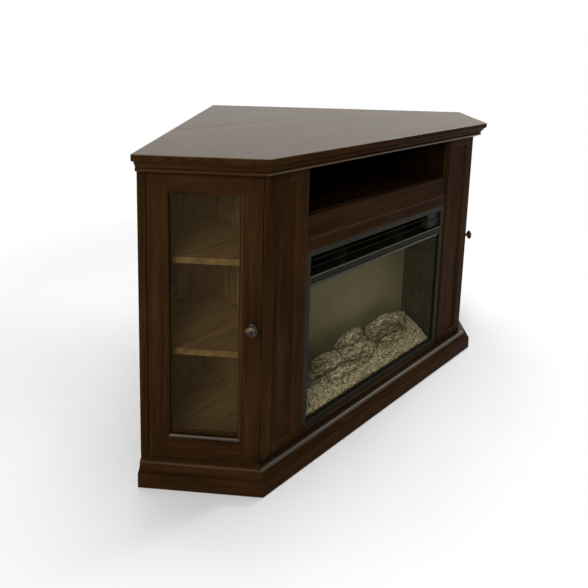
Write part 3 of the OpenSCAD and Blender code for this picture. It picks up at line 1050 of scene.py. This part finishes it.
    def smooth(self, angle: float = 35.0, keep_flat: bool = True) -> None:
        """Shades smooth up to an angle between faces.

        Args:
            angle: Edges sharper than this stay sharp, in degrees.
            keep_flat: True where the large flat faces shade flat and the rounding beside them bends.
        """
        self.only()
        bpy.ops.object.shade_smooth_by_angle(angle=math.radians(angle))
        if keep_flat:
            self.modifier("WEIGHTED_NORMAL", keep_sharp=True, weight=100)

    def place(self, matrix: Matrix) -> None:
        """Moves the mesh to its place, and turns its faces outward again if it was mirrored.

        Args:
            matrix: From where the mesh was drawn to its place.
        """
        self.piece.data.transform(matrix)
        if matrix.determinant() < 0:
            with self.editing(all_picked=True):
                bpy.ops.mesh.flip_normals()

    def join(self, others: Sequence[Bench]) -> None:
        """Joins other pieces into this one.

        Args:
            others: The pieces to join.
        """
        self.only()
        for other in others:
            other.piece.select_set(True)
        bpy.ops.object.join()

    # -- finishing
    def dress(self, *materials: bpy.types.Material) -> None:
        """Gives the piece its finishes in order, in place of any it has.

        Args:
            materials: The finishes, the first for every face that has no other.
        """
        self.piece.data.materials.clear()
        for material in materials:
            self.piece.data.materials.append(material)

    def regrain(self, number: int, test: Test) -> None:
        """Gives the faces that pass the test the finish of that number.

        Args:
            number: Place of the finish among the piece's own.
            test: Takes a centre and a normal.
        """
        for face in self.piece.data.polygons:
            if test(face.center, face.normal):
                face.material_index = number

    def note_facing_up(self) -> None:
        """Notes how far each point faces up; the resin's paint is paler there."""
        own = self.piece.data.attributes.new(FACING_UP, "FLOAT", "POINT")
        for point, kept in zip(self.piece.data.vertices, own.data):
            kept.value = 0.5 + 0.5 * point.normal.z

    def fit(self, body: str, slot: str, *nodes: str) -> None:
        """Hangs the piece on its body and hides the CAD nodes it stands for.

        Args:
            body: The body that it rides on.
            slot: Not used.
            nodes: The CAD nodes that it replaces.
        """
        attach(self.piece, body)
        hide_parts(*nodes)
        log.info("%s on %s, %d faces", self.piece.name, body, len(self.piece.data.polygons))


_FRAME: dict = {}


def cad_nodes() -> dict[str, bpy.types.Object]:
    """The frame's CAD nodes by name."""
    return _FRAME["nodes"]


def keep(finish: bpy.types.Material, *nodes: str) -> None:
    """Dresses CAD nodes whose shape is right.

    Args:
        finish: The finish.
        nodes: The nodes that stay as packed.
    """
    for node in nodes:
        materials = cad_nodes()[node].data.materials
        for number in range(max(1, len(materials))):
            if number < len(materials):
                materials[number] = finish
            else:
                materials.append(finish)
        log.info("%s keeps its CAD shape", node)


def board(node: str, body: str, slot: str, wood: StainedWood, grain: Grain, ease: float = 1.0) -> Bench:
    """Makes a wooden board from its CAD node: same size, eased edges whose rounding takes a lighter stain on
    espresso boards, a painted highlight.

    Args:
        node: The CAD node.
        body: The body that it rides on.
        slot: The record's material slot.
        wood: The wood finish.
        grain: Which way the grain runs.
        ease: Width of the eased edge in millimetres.

    Returns:
        The bench with the finished board.
    """
    bench = Bench.from_cad(node)
    # Espresso boards take the lighter edge stain on their rounding: a painted highlight.
    edge = EDGE if wood is ESPRESSO else wood
    bench.dress(wood.material(grain), edge.material(grain))
    bench.ease(ease * MM, 2, brightened=True)
    bench.smooth()
    bench.fit(body, slot, node)
    return bench


# ---------------------------------------------------------------- sub-assemblies
@dataclass
class Top:
    """The five-sided top, its drop leaf and the three leaf hinges. Sizes in millimetres."""

    ease: float = 1.6
    under: float = 7.5

    def _round_under(self, bench: Bench) -> None:
        """Rounds the lower arris along the front and the two wings.

        Args:
            bench: The bench with the top panel on it.
        """
        low = (PLAN.overall_h - PLAN.top_t) * MM
        rear = PLAN.at(0.0, PLAN.wing_run, 0.0).y
        with bench.editing():
            bench.pick_edges(
                lambda middle, way: middle.z < low + NEAR and abs(way.z) < 0.1 and middle.y < rear
            )
            bpy.ops.mesh.bevel(offset=self.under * MM, segments=5, affect="EDGES", profile=0.5)

    def build(self, finishes: Finishes) -> None:
        """Builds and dresses the top.

        Args:
            finishes: The finishes to take from.
        """
        for node, body in (("top_panel", "cabinet"), ("drop_leaf", "drop_leaf_body")):
            bench = Bench.from_cad(node)
            if body == "cabinet":
                self._round_under(bench)
            bench.dress(TOP.material(Grain.ACROSS), ESPRESSO.material(Grain.ACROSS))
            bench.ease(self.ease * MM)
            # Edges and underside take the plain stain; the upward faces keep the lighter top copy, a painted
            # reflection.
            bench.regrain(1, lambda _, n: n.z < 0.3)
            bench.smooth()
            bench.fit(body, "top_finish", node)
        keep(finishes.of(Shelf.NICKEL), "leaf_hinge_plates", "leaf_hinge_flaps")


@dataclass
class Mouldings:
    """The cornice under the top and the plinth round the base, with painted highlights along their beads."""

    # Height bands, in millimetres, of the bead faces that take the painted highlight.
    beads: dict[str, tuple[float, float]] = field(
        default_factory=lambda: {"cornice": (721.8, 726.6), "plinth": (45.9, 55.1)}
    )

    def _run(self, kind: str, place: str, grain: Grain) -> None:
        """Makes one mitred length from its CAD shape, with smooth coves and beads.

        Args:
            kind: The moulding, cornice or plinth.
            place: front, left or right.
            grain: Which way the grain runs.
        """
        low, high = (z * MM for z in self.beads[kind])
        bench = Bench.from_cad(f"{kind}_{place}", f"{kind}_{place}_moulding")
        # The front run's bead takes the glossier arris copy and the wings' beads the lighter edge stain: both
        # painted highlights.
        bead_highlight = ARRIS if place == "front" else EDGE
        bench.dress(ESPRESSO.material(grain), bead_highlight.material(grain))
        bench.regrain(1, lambda c, n: low < c.z < high and n.y < 0.1 and abs(n.z) > 0.05)
        bench.smooth(32.0)
        bench.fit("cabinet", "dark_wood", f"{kind}_{place}")

    def build(self) -> None:
        """Builds and dresses the six lengths."""
        for kind in self.beads:
            self._run(kind, "front", Grain.ACROSS)
            for side in Side:
                self._run(kind, side.value, Grain.along(side))


@dataclass
class Carcass:
    """The boards between the mouldings. Sizes in millimetres."""

    front_ease: float = 1.2
    back_ease: float = 0.6

    def build(self, finishes: Finishes) -> None:
        """Builds and dresses the boards and small fittings.

        Args:
            finishes: The finishes to take from.
        """
        for side in Side:
            name = side.value
            board(f"pilaster_{name}", "cabinet", "dark_wood", ESPRESSO, Grain.UPRIGHT, self.front_ease)
            board(f"upper_shelf_{name}", "cabinet", "inner_wood", INNER, Grain.ACROSS)
            board(f"lower_shelf_{name}", "cabinet", "inner_wood", INNER, Grain.ACROSS)
            keep(ESPRESSO.material(Grain.UPRIGHT), f"side_panel_{name}")
            wall = board(f"partition_{name}", "cabinet", "inner_wood", INNER, Grain.UPRIGHT)
            # The partition's side facing into the bay takes the near-black copy: painted shade.
            wall.dress(INNER.material(Grain.UPRIGHT), BAY_SHADE.material(Grain.UPRIGHT))
            wall.regrain(1, lambda _, n, sign=side.sign: n.x * sign < -0.5)
        board("header_board", "cabinet", "dark_wood", ESPRESSO, Grain.ACROSS, self.front_ease)
        shelf = board("media_shelf", "cabinet", "dark_wood", ESPRESSO, Grain.ACROSS)
        # Upward bevels take the lighter edge stain, a painted highlight; the shelf's top, inside the bay, the
        # near-black copy, painted shade.
        shelf.dress(ESPRESSO.material(Grain.ACROSS), EDGE.material(Grain.ACROSS), BAY_SHADE.material(Grain.ACROSS))
        shelf.regrain(1, lambda _, n: 0.3 < n.z < 0.95)
        shelf.regrain(2, lambda _, n: n.z > 0.95)
        board("kick_board", "cabinet", "dark_wood", ESPRESSO, Grain.ACROSS)
        floor = board("bottom_panel", "cabinet", "inner_wood", INNER, Grain.ACROSS)
        floor.dress(INNER.material(Grain.ACROSS), ESPRESSO.material(Grain.ACROSS))
        lip = PLAN.at(0.0, PLAN.overhang + PLAN.setback, 0.0)
        with floor.editing():
            floor.cut(lip, (0.0, 1.0, 0.0))
        floor.regrain(1, lambda c, n: n.z < 0.5 or c.y < lip.y)
        keep(ESPRESSO.material(Grain.ACROSS), "top_rails")
        back = board("back_panel", "cabinet", "dark_wood", BAY_SHADE, Grain.UPRIGHT, self.back_ease)
        back.dress(*(wood.material(Grain.UPRIGHT) for wood in (BAY_SHADE, INNER, ESPRESSO)))
        with back.editing():
            for x in (-PLAN.bay_half, PLAN.bay_half):
                back.cut((x * MM, 0.0, 0.0), (1.0, 0.0, 0.0))
        # Inside the bay the back's face takes the near-black copy, painted shade; behind the doors the pale
        # inner stain; back and edges the plain stain.
        back.regrain(0, lambda _, n: n.y < -0.5)
        back.regrain(1, lambda c, n: n.y < -0.5 and abs(c.x) > PLAN.bay_half * MM)
        back.regrain(2, lambda _, n: n.y > -0.5)
        keep(finishes.of(Shelf.PLASTIC), "cable_grommets", "glides", "door_catches")
        keep(finishes.of(Shelf.NICKEL), "shelf_pins", "door_hinge_plates")


@dataclass
class Door:
    """One framed glass door, drawn along its wing and placed on it. Sizes in millimetres."""

    side: Side
    gap: float = 2.0
    low: float = 57.0
    high: float = 715.0
    thick: float = 19.0
    stile: float = 39.5
    rail_top: float = 34.0
    rail_low: float = 45.0
    sticking: float = 8.0
    lip: float = 5.0
    pane_y: float = 11.0
    rebate: float = 6.0
    cup_r: float = 13.1
    cup_inset: float = 18.0
    cup_depth: float = 10.0
    cup_in: float = 93.0
    knob_z: float = 382.0
    joint_w: float = 0.5
    quirk: float = 0.9
    quirk_slope: float = 0.15
    cove_steps: int = 5
    edge_ease: float = 0.9
    knob_rings: Sequence[tuple[float, float]] = (
        (8.0, 0.0),
        (8.6, 0.5),
        (8.6, 1.4),
        (8.0, 2.0),
        (6.2, 2.6),
        (5.2, 4.0),
        (4.8, 6.5),
        (5.1, 9.5),
        (6.2, 11.6),
        (9.0, 12.6),
        (11.6, 13.8),
        (13.1, 15.6),
        (13.5, 17.4),
        (13.1, 19.2),
        (11.8, 20.8),
        (10.9, 21.2),
        (10.4, 21.0),
        (9.8, 21.6),
        (7.6, 22.8),
        (4.2, 23.7),
        (1.2, 24.0),
    )

    @property
    def u0(self) -> float:
        """The door's edge beside the pilaster."""
        return self.gap / 2

    @property
    def u1(self) -> float:
        """The door's edge beside the side panel."""
        return PLAN.side_u - self.gap

    def _inside(self, margin: float) -> Test:
        """Tests that a face lies inside the stiles and rails by a margin in millimetres.

        Args:
            margin: The margin, negative to take in a strip of the frame.

        Returns:
            The test.
        """
        x0, x1 = (self.u0 + self.stile + margin) * MM, (self.u1 - self.stile - margin) * MM
        z0, z1 = (self.low + self.rail_low + margin) * MM, (self.high - self.rail_top - margin) * MM
        return lambda centre, _: x0 < centre.x < x1 and z0 < centre.z < z1

    def _frame(self) -> Bench:
        """Shapes the frame: members, moulded sticking, rebate for the glass and hinge bores.

        Returns:
            The bench with the frame on it, drawn along the wing.
        """
        bench = Bench.block(
            "door_frame_wood",
            Vector((self.u0, 0.0, self.low)) * MM,
            Vector((self.u1, self.thick, self.high)) * MM,
        )
        inside = self._inside(-1.0)
        joints = (self.u0 + self.stile, self.u1 - self.stile)
        with bench.editing():
            for x in joints:
                bench.cut((x * MM, 0.0, 0.0), (1.0, 0.0, 0.0))
            for z in (self.low + self.rail_low, self.high - self.rail_top):
                bench.cut((0.0, 0.0, z * MM), (0.0, 0.0, 1.0))
            bench.pick_faces(lambda c, n: n.y < -0.9 and inside(c, n))
            bpy.ops.mesh.inset(thickness=self.quirk * MM, depth=0.0)
            bpy.ops.mesh.inset(thickness=self.quirk_slope * MM, depth=-self.quirk * MM)
            width, depth = self.sticking - self.quirk - self.quirk_slope, self.lip - self.quirk
            for k in range(self.cove_steps):
                a0, a1 = (math.radians(90.0 * j / self.cove_steps) for j in (k, k + 1))
                across = width * (math.sin(a1) - math.sin(a0))
                down = depth * (math.cos(a0) - math.cos(a1))
                bpy.ops.mesh.inset(thickness=across * MM, depth=-down * MM)
            bench.push((0.0, (self.pane_y - self.lip) * MM, 0.0))
            bpy.ops.mesh.delete(type="FACE")
            bench.pick_faces(lambda c, n: n.y > 0.9 and inside(c, n) and c.y > (self.thick - 1) * MM)
            bpy.ops.mesh.inset(thickness=(self.sticking - self.rebate) * MM, depth=0.0)
            bench.push((0.0, -(self.thick - self.pane_y) * MM, 0.0))
            bpy.ops.mesh.delete(type="FACE")
            bpy.ops.mesh.select_mode(type="EDGE")
            bpy.ops.mesh.select_all(action="DESELECT")
            bpy.ops.mesh.select_non_manifold()
            bpy.ops.mesh.bridge_edge_loops()
            self._joint_lines(bench, joints)
        self._hinge_bores(bench)
        return bench

    def _joint_lines(self, bench: Bench, joints: Sequence[float]) -> None:
        """Cuts the fine line where each rail meets a stile.

        Args:
            bench: The bench with the frame on it, open for editing.
            joints: Where the joints lie along the wing.
        """
        rail_low, rail_top = (self.low + self.rail_low) * MM, (self.high - self.rail_top) * MM
        for x in joints:
            at = x * MM

            def on_joint(middle: Vector, way: Vector, at: float = at) -> bool:
                """True on the front edge between a rail and a stile."""
                on_rail = middle.z < rail_low or middle.z > rail_top
                return abs(middle.x - at) < NEAR and middle.y < NEAR and abs(way.z) > 0.9 and on_rail

            bench.pick_edges(on_joint)
            bpy.ops.mesh.bevel(offset=self.joint_w * MM / 2, segments=2, affect="EDGES")
            bench.pick_points(lambda p, at=at: abs(p.x - at) < NEAR and abs(p.y) < NEAR)
            bpy.ops.transform.translate(value=(0.0, self.joint_w * MM, 0.0))

    def _hinge_bores(self, bench: Bench) -> None:
        """Bores the two blind holes for the hinge cups in the back of the outer stile.

        Args:
            bench: The bench with the frame on it.
        """
        for z in (self.low + self.cup_in, self.high - self.cup_in):
            bore = Bench.turned("bore", ((self.cup_r * MM, -self.cup_depth * MM), (self.cup_r * MM, MM)), 32)
            turn = Matrix.Rotation(math.radians(-90.0), 4, "X")
            bore.place(
                Matrix.Translation(Vector((self.u1 - self.cup_inset, self.thick, z)) * MM) @ turn
            )
            bench.modifier("BOOLEAN", object=bore.piece, operation="DIFFERENCE", solver="EXACT")
            bpy.data.objects.remove(bore.piece, do_unlink=True)

    def build(self, finishes: Finishes) -> None:
        """Builds and dresses the door and its fittings.

        Args:
            finishes: The finishes to take from.
        """
        name, body = self.side.value, f"{self.side.value}_door"
        along = Grain.along(self.side)
        frame = self._frame()
        frame.piece.name = f"{name}_door_frame_wood"
        upright, edge = ESPRESSO.material(Grain.UPRIGHT), EDGE.material(Grain.UPRIGHT)
        frame.dress(upright, edge, ESPRESSO.material(along), ARRIS.material(along))
        x0, x1 = (self.u0 + self.stile) * MM, (self.u1 - self.stile) * MM
        z0 = (self.low + self.rail_low + self.sticking) * MM
        z1 = (self.high - self.rail_top - self.sticking) * MM
        frame.regrain(2, lambda c, n: x0 < c.x < x1 and not (z0 < c.z < z1))
        # Sticking faces turned to +x take the lighter edge stain as painted light, those turned up the
        # glossier arris copy as a painted highlight; the rest keep the plain stain.
        frame.regrain(1, lambda c, n: 0.2 < n.x < 0.98 and n.y < -0.1)
        frame.regrain(3, lambda c, n: 0.2 < n.z < 0.98 and n.y < -0.1)
        frame.ease(self.edge_ease * MM, 2, 50.0)
        frame.place(PLAN.on_wing(self.side))
        frame.smooth(28.0)
        frame.fit(body, "dark_wood", f"{name}_door_frame")
        keep(finishes.of(Shelf.DOOR_GLASS), f"{name}_door_glass")
        keep(ESPRESSO.material(Grain.UPRIGHT), f"{name}_glass_beads")
        keep(finishes.of(Shelf.NICKEL), f"{name}_hinge_cups", f"{name}_knob_screw")
        knob = Bench.turned(f"{name}_knob_turned", [(r * MM, h * MM) for r, h in self.knob_rings])
        knob.place(
            PLAN.on_wing(self.side)
            @ Matrix.Translation(Vector((self.u0 + self.stile / 2, 0.0, self.knob_z)) * MM)
            @ Matrix.Rotation(math.radians(90.0), 4, "X")
        )
        knob.dress(finishes.of(Shelf.BRONZE))
        knob.smooth(40.0, keep_flat=False)
        knob.fit(body, "dark_bronze", f"{name}_knob")


@dataclass
class Log:
    """One cast log, from end to end, in the drawing's millimetres."""

    start: Point
    end: Point
    radius: tuple[float, float]
    seed: int
    arch: float = 0.0


@dataclass
class FireBed:
    """The cast ember bed and the logs that lie on it. Sizes in millimetres."""

    face_y: float = 49.0
    tray_z: float = 58.5
    half: float = 280.0
    lumps: int = 900
    logs: Sequence[Log] = (
        Log((-172, 60, 141), (38, 44, 124), (23, 18), 3),
        Log((-66, 80, 143), (30, 80, 149), (18, 20), 5, 5.0),
        Log((66, 78, 137), (238, 70, 134), (17, 18), 8, 16.0),
        Log((196, 62, 144), (222, 48, 96), (12, 10), 11),
        Log((96, 44, 107), (186, 42, 99), (13, 14), 13, 4.0),
        Log((-160, 33, 115), (22, 36, 100), (12, 12), 21),
        Log((8, 50, 139), (48, 36, 119), (14, 11), 34),
        Log((-190, 86, 103), (216, 86, 103), (17, 18), 55),
    )
    roughness: Sequence[tuple[str, float, float]] = (
        ("bark", 0.010, 0.0085),
        ("knots", 0.030, 0.0130),
        ("split", 0.0045, 0.0042),
    )
    crest: float = 48.0
    hollow: float = 28.0
    hollow_end: float = 218.0
    profile: Sequence[tuple[float, float]] = ((3, 15), (16, 26), (45, 44), (75, 58), (96, 56))
    columns: int = 70
    rows: Sequence[float] = (9.0, 16.0, 23.0, 30.0, 37.0, 45.0, 52.0, 60.0, 67.0, 75.0, 86.0)
    base: float = 20.0
    log_sides: int = 22
    ring_gap: float = 9.0
    end_chamfer: float = 1.5
    squeeze: float = 0.34

    def _height(self, x: float, back: float) -> float:
        """Height of the bed above its tray at a place along and behind the glass.

        Args:
            x: Place along the glass.
            back: Distance behind the glass.

        Returns:
            The height.
        """
        sunk = self.hollow if back > self.crest and x < self.hollow_end else 0.0
        for (y0, z0), (y1, z1) in zip(self.profile, self.profile[1:]):
            if back <= y1:
                return z0 + (z1 - z0) * (back - y0) / (y1 - y0) - sunk
        return self.profile[-1][1] - sunk

    def _log(self, spec: Log, number: int, finishes: Finishes) -> Bench:
        """Shapes one log: wandering rings, an arch, rough bark and sawn ends with growth rings.

        Args:
            spec: The log's ends, radii, seed and arch.
            number: Its number, for its name and its own bark.
            finishes: The finishes to take from.

        Returns:
            The bench with the log at its place.
        """
        rng = random.Random(spec.seed)
        start, end = (PLAN.at(x, self.face_y + y, z) for x, y, z in (spec.start, spec.end))
        length = (end - start).length
        r0, r1 = (r * MM for r in spec.radius)
        squeeze, chamfer = self.squeeze, self.end_chamfer * MM
        count = max(8, round(length / (self.ring_gap * MM)))
        rings = [(r0 * 0.86, 0.0), (r0 * 0.97, chamfer * squeeze)]
        for k in range(1, count):
            share = k / count
            rings.append(((r0 + (r1 - r0) * share) * rng.uniform(0.90, 1.08), length * share * squeeze))
        rings += [(r1 * 0.97, (length - chamfer) * squeeze), (r1 * 0.86, length * squeeze)]
        bench = Bench.turned(f"log_{number}", rings, self.log_sides)
        bench.dress(finishes.of(Shelf.LOG), finishes.of(Shelf.SAWN))
        apart = number * 0.37
        with bench.editing():
            for k in range(1, count):
                level = length * k / count * squeeze
                rise = 4.0 * spec.arch * MM * k * (count - k) / count**2
                bench.pick_points(lambda p, level=level: abs(p.z - level) < 0.1 * MM)
                bpy.ops.transform.translate(value=(0.0, rise, 0.0))
            for up in (-1.0, 1.0):
                bench.pick_faces(lambda c, n, up=up: n.z * up > 0.99)
                for _ in range(4):
                    bpy.ops.mesh.inset(thickness=r1 * 0.17, depth=rng.uniform(-0.0006, 0.0003))
            bpy.ops.mesh.select_all(action="SELECT")
            bpy.ops.transform.translate(value=(apart, 0.0, 0.0))
        bench.regrain(1, lambda _, n: abs(n.z) > 0.9)
        bench.modifier("SUBSURF", levels=2, render_levels=2, subdivision_type="SIMPLE")
        for label, scale, strength in self.roughness:
            texture = bpy.data.textures.new(f"{label}_{number}", "CLOUDS")
            texture.noise_scale = scale
            texture.noise_depth = 3
            bench.modifier(
                "DISPLACE", texture=texture, strength=strength, mid_level=0.55, texture_coords="LOCAL"
            )
        with bench.editing(all_picked=True):
            bpy.ops.transform.translate(value=(-apart, 0.0, 0.0))
            bpy.ops.transform.resize(value=(1.0, 1.0, 1.0 / squeeze), center_override=(0.0, 0.0, 0.0))
        own = bench.piece.data.attributes.new(LOG_PLACE, "FLOAT_VECTOR", "POINT")
        for point, kept in zip(bench.piece.data.vertices, own.data):
            kept.vector = point.co + Vector((0.0, 0.0, number * 0.7))
        way = (end - start).to_track_quat("Z", "Y").to_matrix().to_4x4()
        bench.place(Matrix.Translation(start) @ way)
        bench.smooth(50.0, keep_flat=False)
        bench.note_facing_up()
        return bench

    def _embers(self) -> Bench:
        """Shapes the bed: a rough slope strewn with broken lumps.

        Returns:
            The bench with the bed on it.
        """
        bench = Bench.from_cad("ember_bed", "ember_bed_cast")
        with bench.editing():
            for k in range(1, self.columns):
                x = (-self.half + 2 * self.half * k / self.columns) * MM
                bench.cut((x, 0.0, 0.0), (1.0, 0.0, 0.0))
            for back in self.rows:
                bench.cut(PLAN.at(0.0, self.face_y + back, 0.0), (0.0, 1.0, 0.0))
            behind = PLAN.at(0.0, self.face_y + self.crest, 0.0).y
            bench.pick_points(
                lambda p: p.y > behind and p.x < self.hollow_end * MM and p.z > (self.tray_z + self.base) * MM
            )
            bpy.ops.transform.translate(value=(0.0, 0.0, -self.hollow * MM))
        texture = bpy.data.textures.new("bed_rough", "CLOUDS")
        texture.noise_scale = 0.010
        texture.noise_depth = 2
        bench.modifier("DISPLACE", texture=texture, strength=0.006, mid_level=0.62, texture_coords="LOCAL")
        lump = self._lump()
        rng = random.Random(42)
        copies = []
        for k in range(self.lumps):
            back = 5.0 + 88.0 * rng.random() ** 1.25
            size = rng.uniform(3.0, 7.5)
            x = rng.uniform(-self.half + 9, self.half - 9)
            z = self.tray_z + self._height(x, back) + rng.uniform(-2.0, 1.5)
            at = PLAN.at(x, self.face_y + max(back, size + 2.5), z)
            made = lump.copy(f"ember_{k}")
            turn = Matrix.Rotation(rng.uniform(0, math.tau), 4, Vector([rng.gauss(0, 1) for _ in range(3)]))
            spread = (rng.uniform(0.8, 1.5), rng.uniform(0.7, 1.1), rng.uniform(0.55, 0.9))
            stretch = Matrix.Diagonal((*spread, 1.0))
            made.place(Matrix.Translation(at) @ turn @ stretch @ Matrix.Scale(size * MM, 4))
            copies.append(made)
        bpy.data.objects.remove(lump.piece, do_unlink=True)
        bench.join(copies)
        bench.note_facing_up()
        return bench

    def _lump(self) -> Bench:
        """Shapes one broken lump of unit size, with a few dozen faces.

        Returns:
            The bench with the lump on it.
        """
        lump = Bench.block("lump", (-0.8, -0.8, -0.8), (0.8, 0.8, 0.8))
        with lump.editing(all_picked=True):
            bpy.ops.mesh.subdivide(number_cuts=1, smoothness=0.7)
            bpy.ops.transform.vertex_random(offset=0.16, uniform=0.6, normal=0.3, seed=7)
        return lump

    def build(self, finishes: Finishes) -> None:
        """Builds and dresses the bed and the logs.

        Args:
            finishes: The finishes to take from.
        """
        embers = self._embers()
        embers.dress(finishes.of(Shelf.EMBER))
        embers.fit("cabinet", "ember_resin", "ember_bed")
        for number, spec in enumerate(self.logs):
            made = self._log(spec, number, finishes)
            made.fit("cabinet", "log_resin", "log_set")


@dataclass
class Firebox:
    """The electric insert: frame, glass, outlet bar, heater and moving parts. Sizes in millimetres."""

    bed: FireBed = field(default_factory=FireBed)
    outlet_z: tuple[float, float] = (429.0, 450.0)
    lip: float = 1.6
    frame_ease: float = 1.0
    tolerance: float = 0.2

    def _outlet(self, finishes: Finishes) -> None:
        """Rounds the outlet bar's two long lips and gives their rounding a paler coating, a painted
        highlight.

        Args:
            finishes: The finishes to take from.
        """
        low, high = (z * MM for z in self.outlet_z)
        near = self.tolerance * MM
        bar = Bench.from_cad("outlet_grille", "outlet_bar")
        front = min(corner[1] for corner in bar.piece.bound_box)
        with bar.editing():
            bar.pick_edges(
                lambda middle, way: abs(way.x) > 0.99
                and middle.y < front + near
                and (middle.z < low + near or middle.z > high - near)
            )
            bpy.ops.mesh.bevel(offset=self.lip * MM, segments=2, affect="EDGES")
        bar.dress(finishes.of(Shelf.BLACK), finishes.of(Shelf.LIP))
        # The rounding on both lips takes the paler coat: a painted highlight.
        bar.regrain(1, lambda c, n: 0.2 < abs(n.z) < 0.98 and n.y < -0.1)
        bar.fit("cabinet", "black_steel", "outlet_grille")

    def build(self, finishes: Finishes) -> None:
        """Builds and dresses the insert.

        Args:
            finishes: The finishes to take from.
        """
        frame = Bench.from_cad("firebox_frame", "firebox_frame_steel")
        frame.dress(finishes.of(Shelf.BLACK))
        frame.ease(self.frame_ease * MM, 2)
        frame.smooth()
        frame.fit("cabinet", "black_steel", "firebox_frame")
        self._outlet(finishes)
        keep(finishes.of(Shelf.BLACK), "vent_louvres")
        keep(finishes.of(Shelf.SOOT), "firebox_casing", "heater_housing")
        keep(finishes.of(Shelf.FIRE_GLASS), "firebox_glass")
        keep(finishes.of(Shelf.SCREEN), "flame_screen")
        keep(finishes.of(Shelf.ZINC), "rotor_supports")
        keep(finishes.of(Shelf.FOIL), "flame_rotor")
        keep(
            finishes.of(Shelf.PLASTIC),
            "control_box",
            "power_gland",
            "blower_wheel",
            "power_button",
            "flame_button",
            "heat_button",
        )
        self.bed.build(finishes)


# ---------------------------------------------------------------- studio
@dataclass(frozen=True)
class SoftBox:
    """A square lamp, its place and what it points at, in metres and watts."""

    name: str
    place: Point
    aim: Point
    size: float
    watts: float


@dataclass
class Studio:
    """Pale floor, white surroundings, soft lamps and the camera of the photograph."""

    boxes: Sequence[SoftBox] = (
        SoftBox("key", (-2.7, -1.7, 1.9), (-0.2, 0.0, 0.4), 1.4, 69.0),
        SoftBox("rim", (1.9, -0.5, 2.3), (0.0, -0.1, 0.4), 0.9, 36.0),
        SoftBox("top", (0.0, 0.2, 2.9), (0.0, 0.0, 0.5), 1.8, 37.0),
    )
    ambient: float = 0.265
    reach: float = 15.0
    slab: float = 0.02
    fade: tuple[float, float] = (0.72, 1.5)
    eye: Point = (-1.09788, -1.16038, 0.97779)
    azimuth: float = -40.87
    elevation: float = 8.0
    roll: float = 1.2
    lens: float = 30.789
    shift: tuple[float, float] = (0.0458, -0.2959)

    def _floor(self) -> None:
        """Lays the floor: matt and pale, fading into the white surroundings away from the cabinet."""
        floor = Bench.block(
            "studio_floor", (-self.reach, -self.reach, -self.slab), (self.reach, self.reach, 0.0)
        )
        floor.ease(5 * MM)
        mix = Recipe("floor_paint")
        fade = mix.add("ShaderNodeVectorMath", {"operation": "LENGTH"}, {0: mix.place()}, out=1)
        seen = mix.direct_view() * fade.between(*self.fade)
        mottle = mix.noise(mix.place(), 3.0, 3.0)
        paint = mix.surface(
            Base_Color=mix.ramp(mottle, (0.3, (0.93, 0.93, 0.93)), (0.7, (0.95, 0.95, 0.95))),
            Roughness=0.9,
            Specular_IOR_Level=0.1,
        )
        white = mix.add("ShaderNodeEmission", {}, {"Color": (1.0, 1.0, 1.0, 1.0), "Strength": 1.0})
        mixed = mix.add("ShaderNodeMixShader", {}, {0: seen, 1: paint, 2: white})
        floor.dress(mix.done(mixed))

    def _surroundings(self) -> None:
        """Makes the world: white to the eye, in gloss and through glass, softer as a lamp."""
        mix = SkyRecipe("white_room")
        level = mix.add("ShaderNodeMapRange", {}, {"Value": mix.direct_view(), "To Min": self.ambient})
        mix.done(mix.add("ShaderNodeBackground", {}, {"Color": (1.0, 1.0, 1.0, 1.0), "Strength": level}))

    def _lamps(self) -> None:
        """Hangs the soft boxes."""
        for box in self.boxes:
            lamp = bpy.data.lights.new(box.name, "AREA")
            lamp.shape = "SQUARE"
            lamp.size = box.size
            lamp.energy = box.watts
            holder = bpy.data.objects.new(box.name, lamp)
            bpy.context.scene.collection.objects.link(holder)
            holder.location = box.place
            way = Vector(box.aim) - Vector(box.place)
            holder.rotation_euler = way.to_track_quat("-Z", "Y").to_euler()

    def _camera(self) -> None:
        """Sets the camera where the photograph was taken from."""
        camera = bpy.data.cameras.new("eye")
        camera.lens, camera.sensor_width = self.lens, 36.0
        camera.shift_x, camera.shift_y = self.shift
        camera.clip_start, camera.clip_end = 0.05, 100.0
        holder = bpy.data.objects.new("eye", camera)
        bpy.context.scene.collection.objects.link(holder)
        a, e, r = (math.radians(v) for v in (self.azimuth, self.elevation, self.roll))
        ahead = Vector((-math.sin(a) * math.cos(e), math.cos(a) * math.cos(e), -math.sin(e)))
        right = Vector((math.cos(a), math.sin(a), 0.0))
        up = right.cross(ahead)
        right, up = right * math.cos(r) + up * math.sin(r), up * math.cos(r) - right * math.sin(r)
        turn = Matrix((right, up, -ahead)).transposed().to_4x4()
        holder.matrix_world = Matrix.Translation(self.eye) @ turn
        bpy.context.scene.camera = holder

    def build(self) -> None:
        """Sets up the studio."""
        bpy.context.scene.view_settings.view_transform = "Standard"
        self._floor()
        self._surroundings()
        self._lamps()
        self._camera()


def main() -> None:
    """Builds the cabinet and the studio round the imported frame."""
    logging.basicConfig(level=logging.INFO, format="%(name)s: %(message)s")
    _FRAME.update(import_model())
    finishes = Finishes()
    Top().build(finishes)
    Mouldings().build()
    Carcass().build(finishes)
    for side in Side:
        Door(side).build(finishes)
    Firebox().build(finishes)
    Studio().build()


if __name__ == "__main__":
    main()
